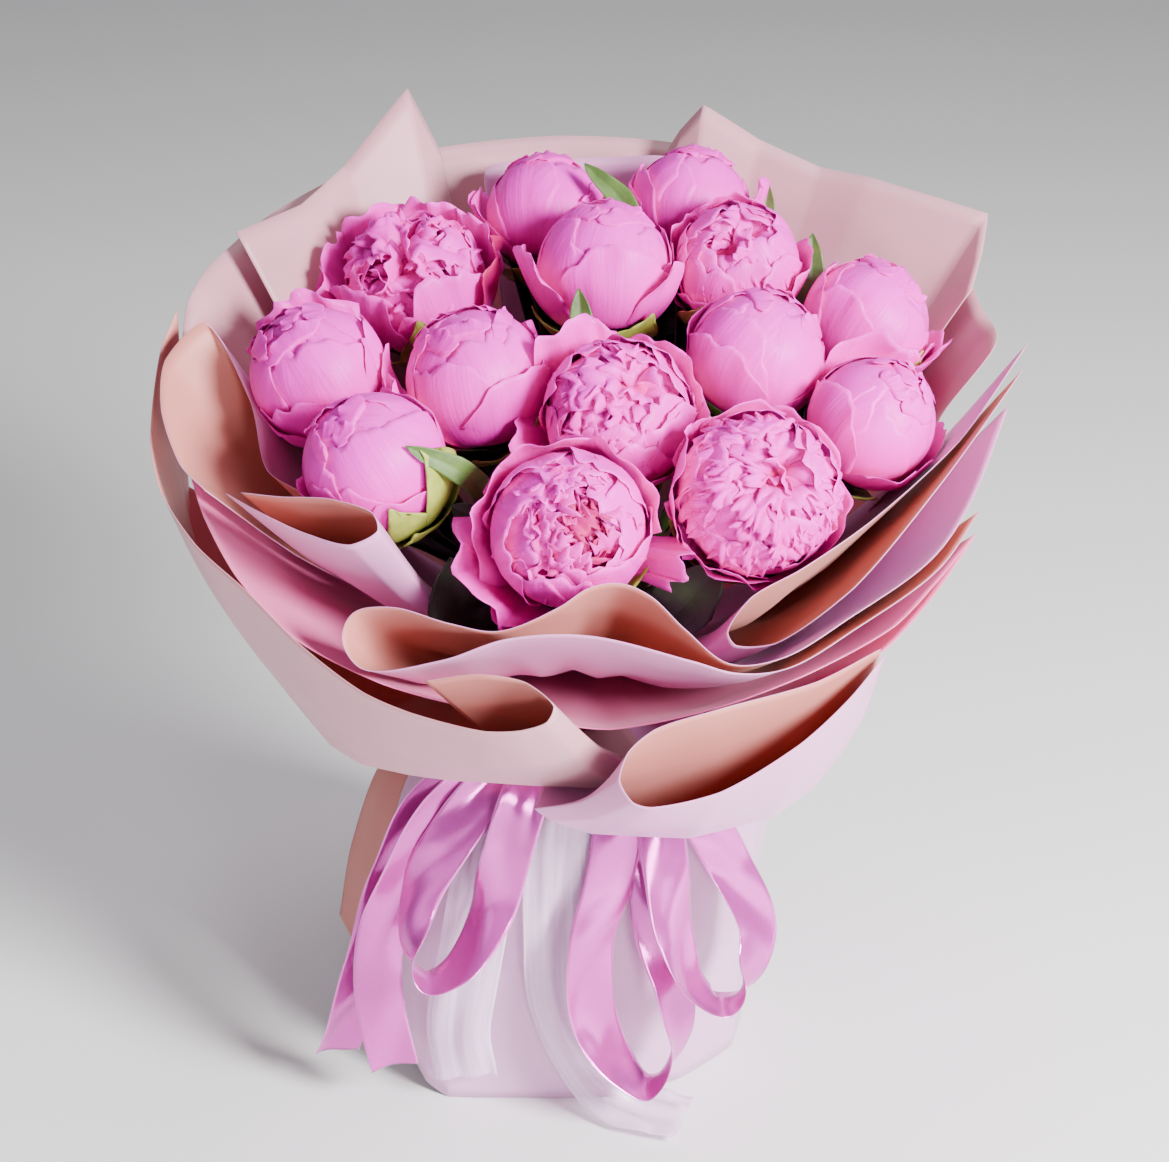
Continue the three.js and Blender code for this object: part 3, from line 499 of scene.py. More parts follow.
def between(a, b, outward, upward):
    return mix(a, b, vec(outward, outward, upward))


def crowded(spans, each, creases=()):
    """Shares of the way through the spans, evenly spaced, with more of them beside each crease."""
    near = [crease + aside for crease in creases for aside in (-0.03, -0.008, 0.008, 0.03)]
    stops = concatenate([linspace(0, spans, spans * each + 1), near])
    return np.unique(clip(stops, 0, spans)) / spans


def sheet_grid(sheet, each_column, each_row):
    """The sheet's surface: curves through the driving points, joined row to row."""
    u = crowded(len(sheet["rim"]) - 1, each_column)
    low = folded(neck_row(sheet, NECK_Z - 2 * NECK_HALF), u, CRISP)
    high = folded(neck_row(sheet, NECK_Z + NECK_HALF + 1, 0, LAYER_STEP), u, CRISP)
    rim = folded(sheet["rim"], u, sheet.get("crisp", CRISP))
    if "belly" not in sheet:
        rows = np.array([low, high, between(high, rim, 0.4, 0.29), between(high, rim, 0.74, 0.61), rim])
        return folded(rows, crowded(len(rows) - 1, each_row), CRISP)
    lip = folded(neck_row(sheet, NECK_Z + NECK_HALF + 4, 8, LAYER_STEP), u, CRISP)
    belly = folded(sheet["belly"], u, BELLY_CRISP)
    inner = np.array([low, high, lip, between(lip, belly, 0.55, 0.4), belly])
    outer = np.array([belly, between(belly, rim, 0.55, 0.45), rim])
    inner = folded(inner, crowded(4, each_row, [4]), CRISP)
    outer = folded(outer, crowded(2, each_row, [0]), CRISP)
    return concatenate([inner, outer[1:]])


def pleated(grid, height, spread, nearest, furthest, front=1.0):
    """Pushes points out into the pleats that run away from the neck. Sheets share them, so they nest."""
    r = np.hypot(grid[..., 0], grid[..., 1])
    turn = radians(angle_of(grid))
    wave = PLEATS * turn + 1.3 * sin(3 * turn) + 0.8 * sin(7 * turn)
    fold = 0.5 + np.arcsin(0.97 * sin(wave)) / pi
    share = exp(-(((grid[..., 2] - height) / spread) ** 2)) * mix(front, 1, 0.5 - 0.5 * cos(turn))
    share = share * clip((r - nearest) / 20, 0, 1) * clip((furthest - r) / 50, 0, 1)
    return grid + (share * fold * PLEAT_DEPTH / maximum(r, 1))[..., None] * grid * vec(1, 1, 0)


def add_paper(sheet):
    spread, furthest = sheet.get("pleats", WRAP_PLEAT_SPREAD)
    grid = pleated(sheet_grid(sheet, 12, 10), spread=spread, furthest=furthest, **WRAP_PLEATS)
    s, v = across_along(grid.shape[1], grid.shape[0])
    skin = Skin()
    skin.add(grid, PAPER, (v, s))
    skin.build(sheet["name"] + "_skin", sheet["slot"], [sheet["front"], sheet["back"]], sheet["name"])


def add_foot():
    angles = vec(*[column[0] for column in FOOT])
    layer = FOOT_LAYER + (np.arange(len(FOOT)) < len(FOOT) / 2)
    u = linspace(0, 1, 16 * (len(FOOT) - 1) + 1)
    shoulder, waist, hem = (folded([column[k] for column in FOOT], u, HEM_CRISP) for k in (1, 2, 3))
    low, high = (spline(polar(angles, FIRST_LAYER_R + LAYER * layer, NECK_Z - drop), u) for drop in (22, 3))
    rows = np.array([hem, waist, shoulder, between(shoulder, low, 0.5, 0.7), low, high])
    grid = pleated(spline(rows, linspace(0, 1, 12 * (len(rows) - 1) + 1)), **FOOT_PLEATS)
    grid[..., 2] = maximum(grid[..., 2], GAP)
    s, v = across_along(grid.shape[1], grid.shape[0])
    skin = Skin()
    for part, front in ((slice(FOOT_CREASE + 1), 1), (slice(FOOT_CREASE, None), 0)):
        skin.add(grid[:, part], PAPER, (v[:, part], s[:, part]), front, 1 - front)
    skin.build("paper_foot_skin", "paper_blush", [PEARL, DUSTY], "paper_foot")


# ---- Blooms ----
class Bloom:
    """A bloom as the table gives it, or as here where the table says nothing."""
    face, glow, crimp, sepals = None, 0, 1, ()

    def __init__(self, name, **given):
        self.name = name
        self.__dict__.update(given)


# Centre, radius and how far open. `guards` are the outer petals: where in the picture they point, the tilt
# of their tip from the stem, half their width, how far they lift off and, on some, their coral glow. `face`
# and `eye` are where in the picture the bloom opens and where its heart petals turn to. `cup` is the tilt of
# the petals round the heart, and `heart` counts the short ones in it: `lean` is how far they lean to the
# eye, `sink` how much lower they lie there, and `frill` their least and most width, then height. `sepals`
# reach up the petals: where they point, the tilt of their tip and half their width.
BLOOMS = [
    Bloom("01", at=(-88, 87, 394), r=37, open=0.9, turn=20, face=(-0.1, 0.62), cup=134, heart=48,
        eye=(-0.1, 0.6), lean=-0.12, sink=0.1, frill=(0.24, 0.44, 0.86, 1.08), crimp=0.8, guards=[
        (178, 104, 44, 2.6), (150, 108, 40, 2.6), (118, 114, 38, 2.2), (88, 112, 36, 1.8),
        (50, 114, 34, 1.4), (-8, 122, 38, 1.9, 1.0), (-62, 136, 46, 1.0), (-118, 126, 44, 1.5)]),
    Bloom("02", at=(-21, 130, 418), r=32, open=0.1, turn=200, guards=[
        (-95, 120, 50, 1.1), (-35, 114, 44, 1.6), (-150, 114, 44, 1.4), (60, 120, 50, 0.5)]),
    Bloom("03", at=(57, 136, 420), r=32, open=0.15, turn=75, guards=[
        (-5, 124, 46, 1.8), (-80, 108, 52, 0.4), (-150, 112, 48, 0.5), (110, 120, 46, 0.4)]),
    Bloom("04", at=(10, 66, 408), r=35, open=0.2, turn=140, guards=[
        (-140, 106, 46, 1.7), (-40, 106, 46, 1.8), (-90, 112, 52, 0.3), (60, 128, 50, 0.5)]),
    Bloom("05", at=(80, 74, 408), r=33, open=0.5, turn=310, face=(-0.05, 0.45), cup=150, heart=40,
        eye=(-0.1, 0.4), lean=-0.2, sink=0.18, frill=(0.2, 0.36, 0.86, 1.0), guards=[
        (-100, 112, 55, 0.5), (-20, 110, 48, 0.9), (165, 112, 48, 0.9), (100, 122, 42, 0.5)]),
    Bloom("06", at=(146, 55, 383), r=33, open=0.1, turn=35, sepals=[(-112, 100, 14)], guards=[
        (0, 118, 44, 1.9), (-60, 110, 48, 0.8), (-130, 104, 46, 0.4), (120, 120, 50, 0.4)]),
    Bloom("07", at=(-134, -4, 376), r=35, open=0.15, turn=100, guards=[
        (128, 136, 42, 2.4), (-150, 108, 52, 1.0), (-80, 104, 52, 0.4), (20, 108, 46, 0.3)]),
    Bloom("08", at=(-101, -72, 357), r=35, open=0.0, turn=250, sepals=[(-24, 108, 24), (-58, 92, 16)],
        guards=[
        (-160, 110, 54, 0.3), (-70, 98, 52, 0.3), (70, 112, 52, 0.3)]),
    Bloom("09", at=(-54, -8, 376), r=35.5, open=0.1, turn=165, guards=[
        (176, 126, 26, 2.6), (-150, 116, 28, 2.0), (-60, 104, 52, 0.4), (40, 118, 50, 0.5)]),
    Bloom("10", at=(17, -40, 370), r=37, open=0.7, turn=60, face=(0.05, 0.32), cup=142, heart=64,
        eye=(0.32, 0.6), lean=-0.3, sink=0.16, frill=(0.22, 0.42, 0.84, 1.0), guards=[
        (-150, 96, 42, 2.8), (122, 104, 38, 2.6), (-85, 104, 56, 0.8), (-20, 104, 48, 0.8),
        (50, 104, 44, 0.8)]),
    Bloom("11", at=(86, 0, 385), r=34, open=0.0, turn=330, guards=[
        (-130, 104, 56, 0.2), (-20, 108, 54, 0.3), (90, 118, 54, 0.2)]),
    Bloom("12", at=(142, -32, 363), r=32, open=0.1, turn=15, guards=[
        (8, 112, 42, 2.4), (-82, 104, 48, 2.6), (-150, 108, 48, 0.3), (58, 136, 40, 2.0)]),
    Bloom("13", at=(-7, -112, 340), r=38, open=0.8, turn=120, face=(0.0, 0.05), cup=146, heart=84,
        eye=(0.25, 0.02), lean=0.16, sink=0.22, glow=1.0, frill=(0.2, 0.36, 0.86, 0.99), guards=[
        (-145, 100, 42, 2.8), (-118, 96, 38, 2.4), (-22, 100, 14, 3.2), (50, 108, 50, 0.9),
        (110, 108, 50, 0.9), (175, 106, 46, 1.1)]),
    Bloom("14", at=(83, -88, 348), r=39, open=1.0, turn=280, face=(0.2, 0.14), cup=138, heart=140,
        eye=(0.28, 0.42), lean=-0.42, sink=0.12, frill=(0.14, 0.28, 0.86, 1.03), guards=[
        (180, 112, 48, 1.1), (-125, 102, 52, 0.9), (-85, 98, 52, 1.0), (-30, 96, 48, 0.9),
        (40, 98, 48, 0.7), (110, 102, 48, 0.7)]),
]
OPEN_FROM = 0.4
OPEN_CORE, CLOSED_CORE = 0.62, 0.88
PETAL_THICKNESS, SEPAL_THICKNESS, LEAF_THICKNESS = 0.35, 0.8, 0.5
PRESS_SOFTNESS, PRESS_REACH, PRESS_GAP, MOST_PRESSES = 1.2, 1.25, 1.2, 5
SCREEN_RIGHT = vec(1, 0, 0)
SCREEN_UP = vec(0, sin(CAMERA_ELEVATION), cos(CAMERA_ELEVATION))
SCREEN_NEAR = cross(SCREEN_RIGHT, SCREEN_UP)
LIGHT_SIDE = unit(vec(0.25, -0.25, 1))


def towards(right, up):
    """The direction of the point of a ball that the picture shows at those shares of its radius."""
    return right * SCREEN_RIGHT + up * SCREEN_UP + sqrt(1 - right**2 - up**2) * SCREEN_NEAR


def axes_round(axis):
    side = unit(cross(UP, axis))
    return stack([side, cross(axis, side), axis])


def set_up_blooms():
    """Each bloom's own axes, and the planes that press it: its neighbours' and the paper's."""
    for b in BLOOMS:
        b.centre = vec(*b.at)
        b.axis = unit(b.centre - AIM)
        b.stem_axes = axes_round(b.axis)
        b.petal_axes = axes_round(towards(*b.face)) if b.face else b.stem_axes
    for b in BLOOMS:
        b.flats = []
        for o in BLOOMS:
            if o is not b:
                apart = o.centre - b.centre
                reach = norm(apart) * b.r / (b.r + o.r) - GAP / 2
                b.flats.append((unit(apart), reach, 1))
    for sheet in SHEETS:
        points = sheet_grid(sheet, 3, 5).reshape(-1, 3)
        for b in BLOOMS:
            press_into(b, points)


def press_into(b, points):
    """Adds the planes that a sheet presses into a bloom, each where it still reaches in deepest."""
    widest = PRESS_REACH * b.r
    apart = points - b.centre
    reach = norm(apart, axis=1) - PAPER - PRESS_GAP
    near = reach < widest
    normals, reach = unit(apart[near]), reach[near]
    for _ in range(MOST_PRESSES if len(reach) else 0):
        free = np.full(len(reach), widest)
        for normal, far, _ in b.flats:
            facing = normals @ normal
            free = np.where(facing > 0, minimum(free, far / maximum(facing, 1e-6)), free)
        deepest = np.argmax(free - reach)
        if free[deepest] <= reach[deepest]:
            return
        b.flats.append((normals[deepest], reach[deepest], 0))


def pressed(b, grid, slack=0.0):
    """Eases points, measured from the bloom's centre, back behind each plane that presses it. Neighbours'
    planes give way by slack."""
    for normal, reach, gives in b.flats:
        inside = (reach + slack * gives - grid @ normal) / PRESS_SOFTNESS
        grid = grid + ((inside - np.logaddexp(0, inside)) * PRESS_SOFTNESS)[..., None] * normal
    return grid


def on_ball(axes, azimuth, tilt, sideways, radius):
    """Points round a centre. The azimuth is round the last of the axes and the tilt from its lower end."""
    ca, sa, ct, st = cos(azimuth), sin(azimuth), cos(tilt), sin(tilt)
    out = stack([st * ca, st * sa, -ct], axis=-1)
    along = stack([ct * ca, ct * sa, st], axis=-1)
    d = out * cos(sideways)[..., None] + cross(along, out) * sin(sideways)[..., None]
    return (d * np.asarray(radius)[..., None]) @ axes


def azimuth_of(b, screen_degrees):
    a = radians(screen_degrees)
    side, across, _ = b.petal_axes @ (cos(a) * SCREEN_RIGHT + sin(a) * SCREEN_UP)
    return np.arctan2(across, side)


def painted_shade_of(grid):
    """Painted shade: how far a point of a bloom faces down, away from the light side: 0 on its top, 1
    underneath.
    """
    return clip(0.5 - 0.55 * unit(grid) @ LIGHT_SIDE, 0, 1)


PETAL_GRID, RUFFLE_GRID = across_along(25, 23), across_along(15, 11)
SEPAL_GRID, LEAF_GRID = across_along(9, 11), across_along(13, 25)


def lay_petal(skin, b, rng, grid, s, v, rim, glow, slack=0.0):
    """Presses a petal into its place. It thins towards its edges, and is paler where rim is nearer 1."""
    thickness = PETAL_THICKNESS * (1 - 0.7 * maximum(abs(s), v) ** 8)
    # The last fact is the painted shade, from which way each point faces.
    facts = (rim, s, rng.uniform(0, 1), glow, painted_shade_of(grid))
    skin.add(pressed(b, grid, slack) + b.centre, thickness, facts)


def add_petal(skin, b, rng, azimuth, tip, half, radius, lift=0.0, lean=1.0, wave=0.6, foot=10.0, glow=0.0,
              curl=0.0, slack=0.0):
    """A broad petal that lies on the bloom from its foot to its tip. The azimuth is in radians."""
    s, v = PETAL_GRID
    r = b.r
    notches = sum(rng.uniform(0.02, 0.07) * exp(-(((s - n) / 0.08) ** 2)) for n in rng.uniform(-0.8, 0.8, 3))
    phase = rng.uniform(0, 2 * pi)
    drop = 0.30 * abs(s) ** 2.6 + 0.025 * sin(5 * s + phase) + 0.012 * sin(17 * s + phase) + notches
    tilt = radians(foot + (tip - foot) * v * (1 - drop))
    width = radians(half) * (0.30 + 0.70 * sin(pi * (0.06 + 0.54 * v)))
    width = width * (1 + 0.03 * sin(9 * v + phase) * v)
    ripple = wave * v**5 * (sin(7 * s + phase) + 0.6 * sin(13 * s + 2 * phase))
    crinkle = 0.16 * v * sin(19 * s + 3 * sin(2 * v + phase)) + 0.10 * sin(31 * s + 4 * v + phase) * v
    swell = 0.7 * sin(2.2 * s + phase) * v
    out = radius * r + lean * s * v + ripple + crinkle + swell + lift * r * 0.10 * v**1.5 + curl * v**7
    out = out - 0.30 * r * clip(1 - 3.2 * v, 0, 1) ** 2
    twist = rng.uniform(-0.15, 0.15)
    grid = on_ball(b.petal_axes, azimuth + twist * v, tilt, s * width, out)
    rim = v * (1 - 0.10 * abs(s) ** 4)
    lay_petal(skin, b, rng, grid, s, v, rim, glow * clip(1.6 * v - 0.6, 0, 1), slack)


RUFFLE_ROOT = 0.56  # how far out from the middle the short petals begin


def add_ruffle(skin, b, rng, start, flow, width, height, glow):
    """A short petal in the heart of an open bloom, which rises at start and leans over by flow."""
    s, v = RUFFLE_GRID
    r = b.r
    phase = rng.uniform(0, 2 * pi)
    flat = unit(cross(start, flow))
    edge = 0.20 * s**2 + 0.08 * sin(4 * s + phase) + 0.06 * sin(9 * s + 2 * phase)
    reach = v * (1.03 - edge - 0.10 * abs(sin(8 * s + phase)))
    direction = unit(start + reach[..., None] ** 1.5 * flow)
    face = cross(flat, direction)
    out = r * mix(RUFFLE_ROOT, height, sin(0.5 * pi * clip(1.15 * reach, 0, 1)))
    out = out + 0.03 * r * sin(7 * s + phase) * v
    spread = width * r * (0.35 + 0.65 * sin(0.5 * pi * v) ** 0.8)
    crimp = r * v**1.5 * (0.075 * sin(4.5 * s + phase) + 0.035 * sin(10 * s - phase))
    crimp = crimp * b.crimp + 0.14 * r * s**2 * v
    grid = out[..., None] * direction + (s * spread)[..., None] * flat + crimp[..., None] * face
    lay_petal(skin, b, rng, grid, s, v, v**1.3, glow * (0.45 + 0.55 * v))


def add_petal_ring(skin, b, rng, count, offset, jitter, tip, half, radius, **form):
    for k in range(count):
        azimuth = radians(b.turn) + 2 * pi * (k + offset) / count + rng.uniform(-jitter, jitter)
        add_petal(skin, b, rng, azimuth, tip + rng.uniform(-10, 8), half, radius, **form)


# The rings of big petals on a closed bloom: tilt of their tips, half width, share of the bloom's radius and
# how far one side stands out.
CLOSED_RINGS = [(196, 74, 0.945, 1.0), (180, 66, 0.96, 1.3), (158, 62, 0.975, 1.2), (136, 58, 0.99, 1.0)]


def closed_petals(skin, b, rng):
    """Big petals wrap the ball. The inner ones reach over the top, so that only their sides show as seams.
    The outer ones stop at uneven heights."""
    for ring, (tip, half, radius, lean) in enumerate(CLOSED_RINGS):
        add_petal_ring(skin, b, rng, 3, 0.41 * ring, 0.3, tip, half, radius, lean=lean, wave=0.3)
    for k in range(7 if b.open else 4):
        low = rng.uniform(128, 158)
        add_petal(skin, b, rng, radians(b.turn) + 2.4 * k, low + rng.uniform(18, 30),
                  rng.uniform(16, 30), 1.005, wave=0.9, foot=low, lift=0.2)


GOLDEN_ANGLE = pi * (3 - sqrt(5))
EYE_R, SINK_R, GLOW_R = 0.5, 0.35, 0.62  # how far round the eye its pull, its hollow and its glow reach


def open_petals(skin, b, rng):
    """A cup of petals round a heart of short ones, which lean over to the bloom's eye or away from it."""
    cup = b.cup
    for ring, (count, more, radius) in enumerate([(4, 10, 0.91), (5, 0, 0.95), (5, -14, 0.985)]):
        add_petal_ring(skin, b, rng, count, 0.5 * ring, 0.25, cup + more, 50, radius, lean=1.4, wave=0.9,
                       curl=1.2 * b.open)
    eye = towards(*b.eye)
    narrow, wide, low, high = b.frill
    spread = radians(200 - cup)
    for k in range(b.heart):
        tilt = pi - spread * sqrt((k + 0.5) / b.heart)
        start = on_ball(b.petal_axes, GOLDEN_ANGLE * k + rng.uniform(-0.2, 0.2), tilt, 0, 1)
        apart = eye - start * start.dot(eye)
        near = norm(apart)
        off = min(1, near / EYE_R)
        flow = unit(apart) * b.lean * (0.4 + 0.6 * off) + (0.42 - 0.26 * off) * rng.normal(size=3)
        flow = flow - start * start.dot(flow)
        height = rng.uniform(low, high) - b.sink * exp(-((near / SINK_R) ** 2))
        glow = b.glow * exp(-((near / GLOW_R) ** 6))
        add_ruffle(skin, b, rng, start, flow, rng.uniform(narrow, wide), height, glow)


def add_bloom(b):
    rng = np.random.default_rng(RNG_SEED + int(b.name))
    is_open = b.open > OPEN_FROM
    core = (OPEN_CORE if is_open else CLOSED_CORE) * b.r
    skin = Skin()
    # The core ball sits deep in the bloom and is painted as wholly in shade: deep pink, with the painted
    # shade fact at 1.
    skin.add_ball(b.centre, lambda d: pressed(b, core * d), (0.1, 0, 1, b.glow, 1))
    (open_petals if is_open else closed_petals)(skin, b, rng)
    for screen, tip, half, lift, *glow in b.guards:
        add_petal(skin, b, rng, azimuth_of(b, screen), tip, half, 1.0, lift=lift, wave=0.7 + 0.7 * lift,
                  curl=1.0 + 2.2 * lift, slack=3 * max(0, lift - 0.8), glow=sum(glow))
    skin.build(f"bloom_{b.name}_petals", "petals", [PETAL, PETAL], f"bloom_{b.name}",
               ("along", "across", "tone", "glow", "painted_shade"))


# ---- Stems, calyxes and leaves ----
CENTRAL = "10"
INNER_RING = ["13", "11", "05", "04", "09"]


def neck_place(b):
    if b.name == CENTRAL:
        return vec(0, 0, 0)
    if b.name in INNER_RING:
        return polar(360 * INNER_RING.index(b.name) / len(INNER_RING), INNER_RING_R, 0)
    return polar(angle_of(b.centre), OUTER_RING_R, 0)


def at_height(p, z):
    return vec(p[0], p[1], z)


def stem_ends(b):
    """The two ends of the stem's upper part: at the neck, and under the calyx."""
    top = b.centre - (b.r + 2 * CALYX_HEIGHT) * b.axis
    return at_height(neck_place(b), NECK_Z + NECK_HALF), top


def add_stem_tube(skin, b):
    (x, y, _), (high, top) = neck_place(b), stem_ends(b)
    c, s = SPLAY * cos(SPIRAL), SPLAY * sin(SPIRAL)
    cut = vec(c * x - s * y, s * x + c * y, 0)
    route = [b.centre - (b.r + BASE_GAP + 2) * b.axis, top, high, at_height(high, NECK_Z),
             at_height(high, NECK_Z - NECK_HALF), at_height(0.97 * cut, 8), at_height(cut, 0.2)]
    t = linspace(0, 1, 61)
    skin.add_tube(spline(route, t), STEM_R - 0.1, 14, (t, 0))


def add_calyx(skin, b, rng):
    """A cup of overlapping spoon-shaped sepals under the bloom, and those that reach up its petals."""
    foot = b.centre - (b.r + BASE_GAP + CALYX_HEIGHT) * b.axis
    t = linspace(0, 1, 12)
    radii = mix(STEM_R, 0.36 * b.r, sin(t * pi / 2) ** 1.5)
    skin.add_tube(foot + t[:, None] * (CALYX_HEIGHT - 1) * b.axis, radii, 20, (t, 0.2))
    s, v = SEPAL_GRID

    def lay(axes, azimuth, tilt, width, out, slack=0):
        grid = on_ball(axes, azimuth, radians(tilt), s * radians(width), out)
        skin.add(pressed(b, grid, slack) + b.centre, SEPAL_THICKNESS, (v, s))

    for k in range(5):
        azimuth = radians(b.turn) + 0.2 + 2 * pi * k / 5 + rng.uniform(-0.2, 0.2)
        tip = 48 + 14 * sin(2.1 * k + b.turn)
        lay(b.stem_axes, azimuth, 4 + (tip - 4) * v * (1 - 0.15 * s**2),
            5 + 22 * sin(pi * (0.12 + 0.88 * v)) ** 0.8,
            b.r * (1 + 0.05 * v) + BASE_GAP + 5.5 - 3 * v + v * s**2)
    for screen, tip, half in b.sepals:
        lay(b.petal_axes, azimuth_of(b, screen), 20 + (tip - 20) * v * (1 - 0.12 * s**2),
            4 + half * sin(pi * (0.1 + 0.9 * v)) ** 0.7,
            b.r * 1.04 + 3 - 1.5 * v + 1.2 * v * s**2, slack=8)


# Leaves that show: stem, height that they leave it at, middle, tip, half width and green. The near-black
# green ones paint the shade in the gaps beside blooms 13 and 14.
LEAVES = [
    ("02", 300, (24, 96, 426), (0, 108, 453), 5.5, LEAF_GREEN),
    ("03", 300, (90, 126, 386), (100, 146, 430), 8, LEAF_GREEN),
    ("06", 300, (118, 84, 380), (121, 104, 416), 7, LEAF_GREEN),
    ("08", 270, (-52, -84, 352), (-84, -99, 377), 5, LEAF_GREEN),
    ("04", 300, (0, 22, 374), (-3, 29, 411), 7, LEAF_GREEN),
    ("13", 270, (-46, -88, 330), (-64, -88, 342), 6, PAINTED_SHADE_GREEN),
    ("14", 270, (42, -96, 288), (66, -106, 320), 16, PAINTED_SHADE_GREEN),
    ("13", 262, (-56, -100, 288), (-64, -104, 322), 15, PAINTED_SHADE_GREEN),
]
# Leaves that fill the gaps round each bloom, in a near-black green that paints the shade in those gaps:
# share of the way up the stem, tilt of their tip round the bloom and half width.
INNER_LEAVES = [(0.5, 58, 19), (0.6, 62, 20), (0.7, 56, 18), (0.8, 62, 18), (0.88, 58, 17), (0.95, 60, 15)]


def add_leaf(skin, b, route, half, facing):
    """A leaf that follows its midrib, turned to that side, a little folded and with a waved edge."""
    s, v = (part[..., None] for part in LEAF_GRID)
    rib = spline(route, v[:, 0, 0])[:, None]
    ahead = unit(np.gradient(rib, axis=0))
    sideways = unit(cross(ahead, facing))
    width = 1.2 + half * sin(pi * v**1.2) ** 0.9 * (1 + 0.05 * cos(9 * pi * v))
    width = width * clip(14 * (1.02 - v), 0, 1)
    arch = 0.25 * width * abs(s) + 0.8 * sin(5 * pi * v) * s**2
    grid = rib + s * width * sideways + arch * cross(sideways, ahead)
    skin.add(clear_of_blooms(b, grid), LEAF_THICKNESS, facts=LEAF_GRID[::-1])


def clear_of_blooms(b, grid):
    """Moves points of a leaf out of every bloom, and behind the paper beside its own."""
    for _ in range(3):
        for o in BLOOMS:
            apart = grid - o.centre
            far = norm(apart, axis=-1, keepdims=True)
            least = 1.05 * o.r
            grid = np.where(far < least, o.centre + apart * least / maximum(far, 1), grid)
    return pressed(b, grid - b.centre, 60) + b.centre


def add_inner_leaves(skin, b, rng):
    bottom, top = stem_ends(b)
    for k, (share, tilt, half) in enumerate(INNER_LEAVES):
        turn = radians(b.turn) + 2.4 * k + rng.uniform(-0.3, 0.3)
        out = vec(cos(turn), sin(turn), 0) @ b.stem_axes
        a = radians(tilt) * (1 - 0.5 * max(0, out.dot(SCREEN_NEAR)))
        middle, tip = (b.centre + far * b.r * (sin(at) * out - cos(at) * b.axis)
                       for far, at in ((1.08, a / 2), (1.06, a)))
        add_leaf(skin, b, [mix(bottom, top, share), middle, tip], half, b.axis)


def add_stem(b):
    rng = np.random.default_rng(RNG_SEED + 100 + int(b.name))
    stem = "stem_" + b.name
    tube, cup, inner = Skin(), Skin(), Skin()
    add_stem_tube(tube, b)
    tube.build(stem + "_tube", "green", [STEM_GREEN], stem)
    add_calyx(cup, b, rng)
    cup.build(stem + "_calyx", "green", [CALYX_GREEN, CALYX_GREEN])
    add_inner_leaves(inner, b, rng)
    inner.build(stem + "_inner_leaves", "green", [PAINTED_SHADE_GREEN, PAINTED_SHADE_GREEN])
    bottom, top = stem_ends(b)
    for k, leaf in enumerate(leaf for leaf in LEAVES if leaf[0] == b.name):
        _, start, middle, tip, half, green = leaf
        root = mix(bottom, top, (start - bottom[2]) / (top[2] - bottom[2]))
        blade = Skin()
        add_leaf(blade, b, [root, middle, tip], half, SCREEN_NEAR)
        blade.build(f"{stem}_leaf_{k}", "green", [green, green])


# ---- Twine ----
STRAND_R, STRAND_APART, STRAND_TWISTS = 0.62, 0.55, 60


def add_twine():
    """Two twisted strands, wound round the stems."""
    skin = Skin()
    t = linspace(0, 1, 260)
    turn = 2 * pi * TWINE_TURNS * t
    outward = stack([cos(turn), sin(turn), 0 * turn], axis=-1)
    z = NECK_Z + (TWINE_R * TWINE_TURNS - 1) * (2 * t - 1)
    core = (TWINE_INNER + TWINE_R) * outward + z[:, None] * UP
    for phase in (0, pi):
        twist = (STRAND_TWISTS * pi * t + phase)[:, None]
        path = core + STRAND_APART * (cos(twist) * outward + sin(twist) * UP)
        skin.add_tube(path, STRAND_R, 8, (t, phase))
    skin.build("twine_strands", "twine", [JUTE], "twine_tie")


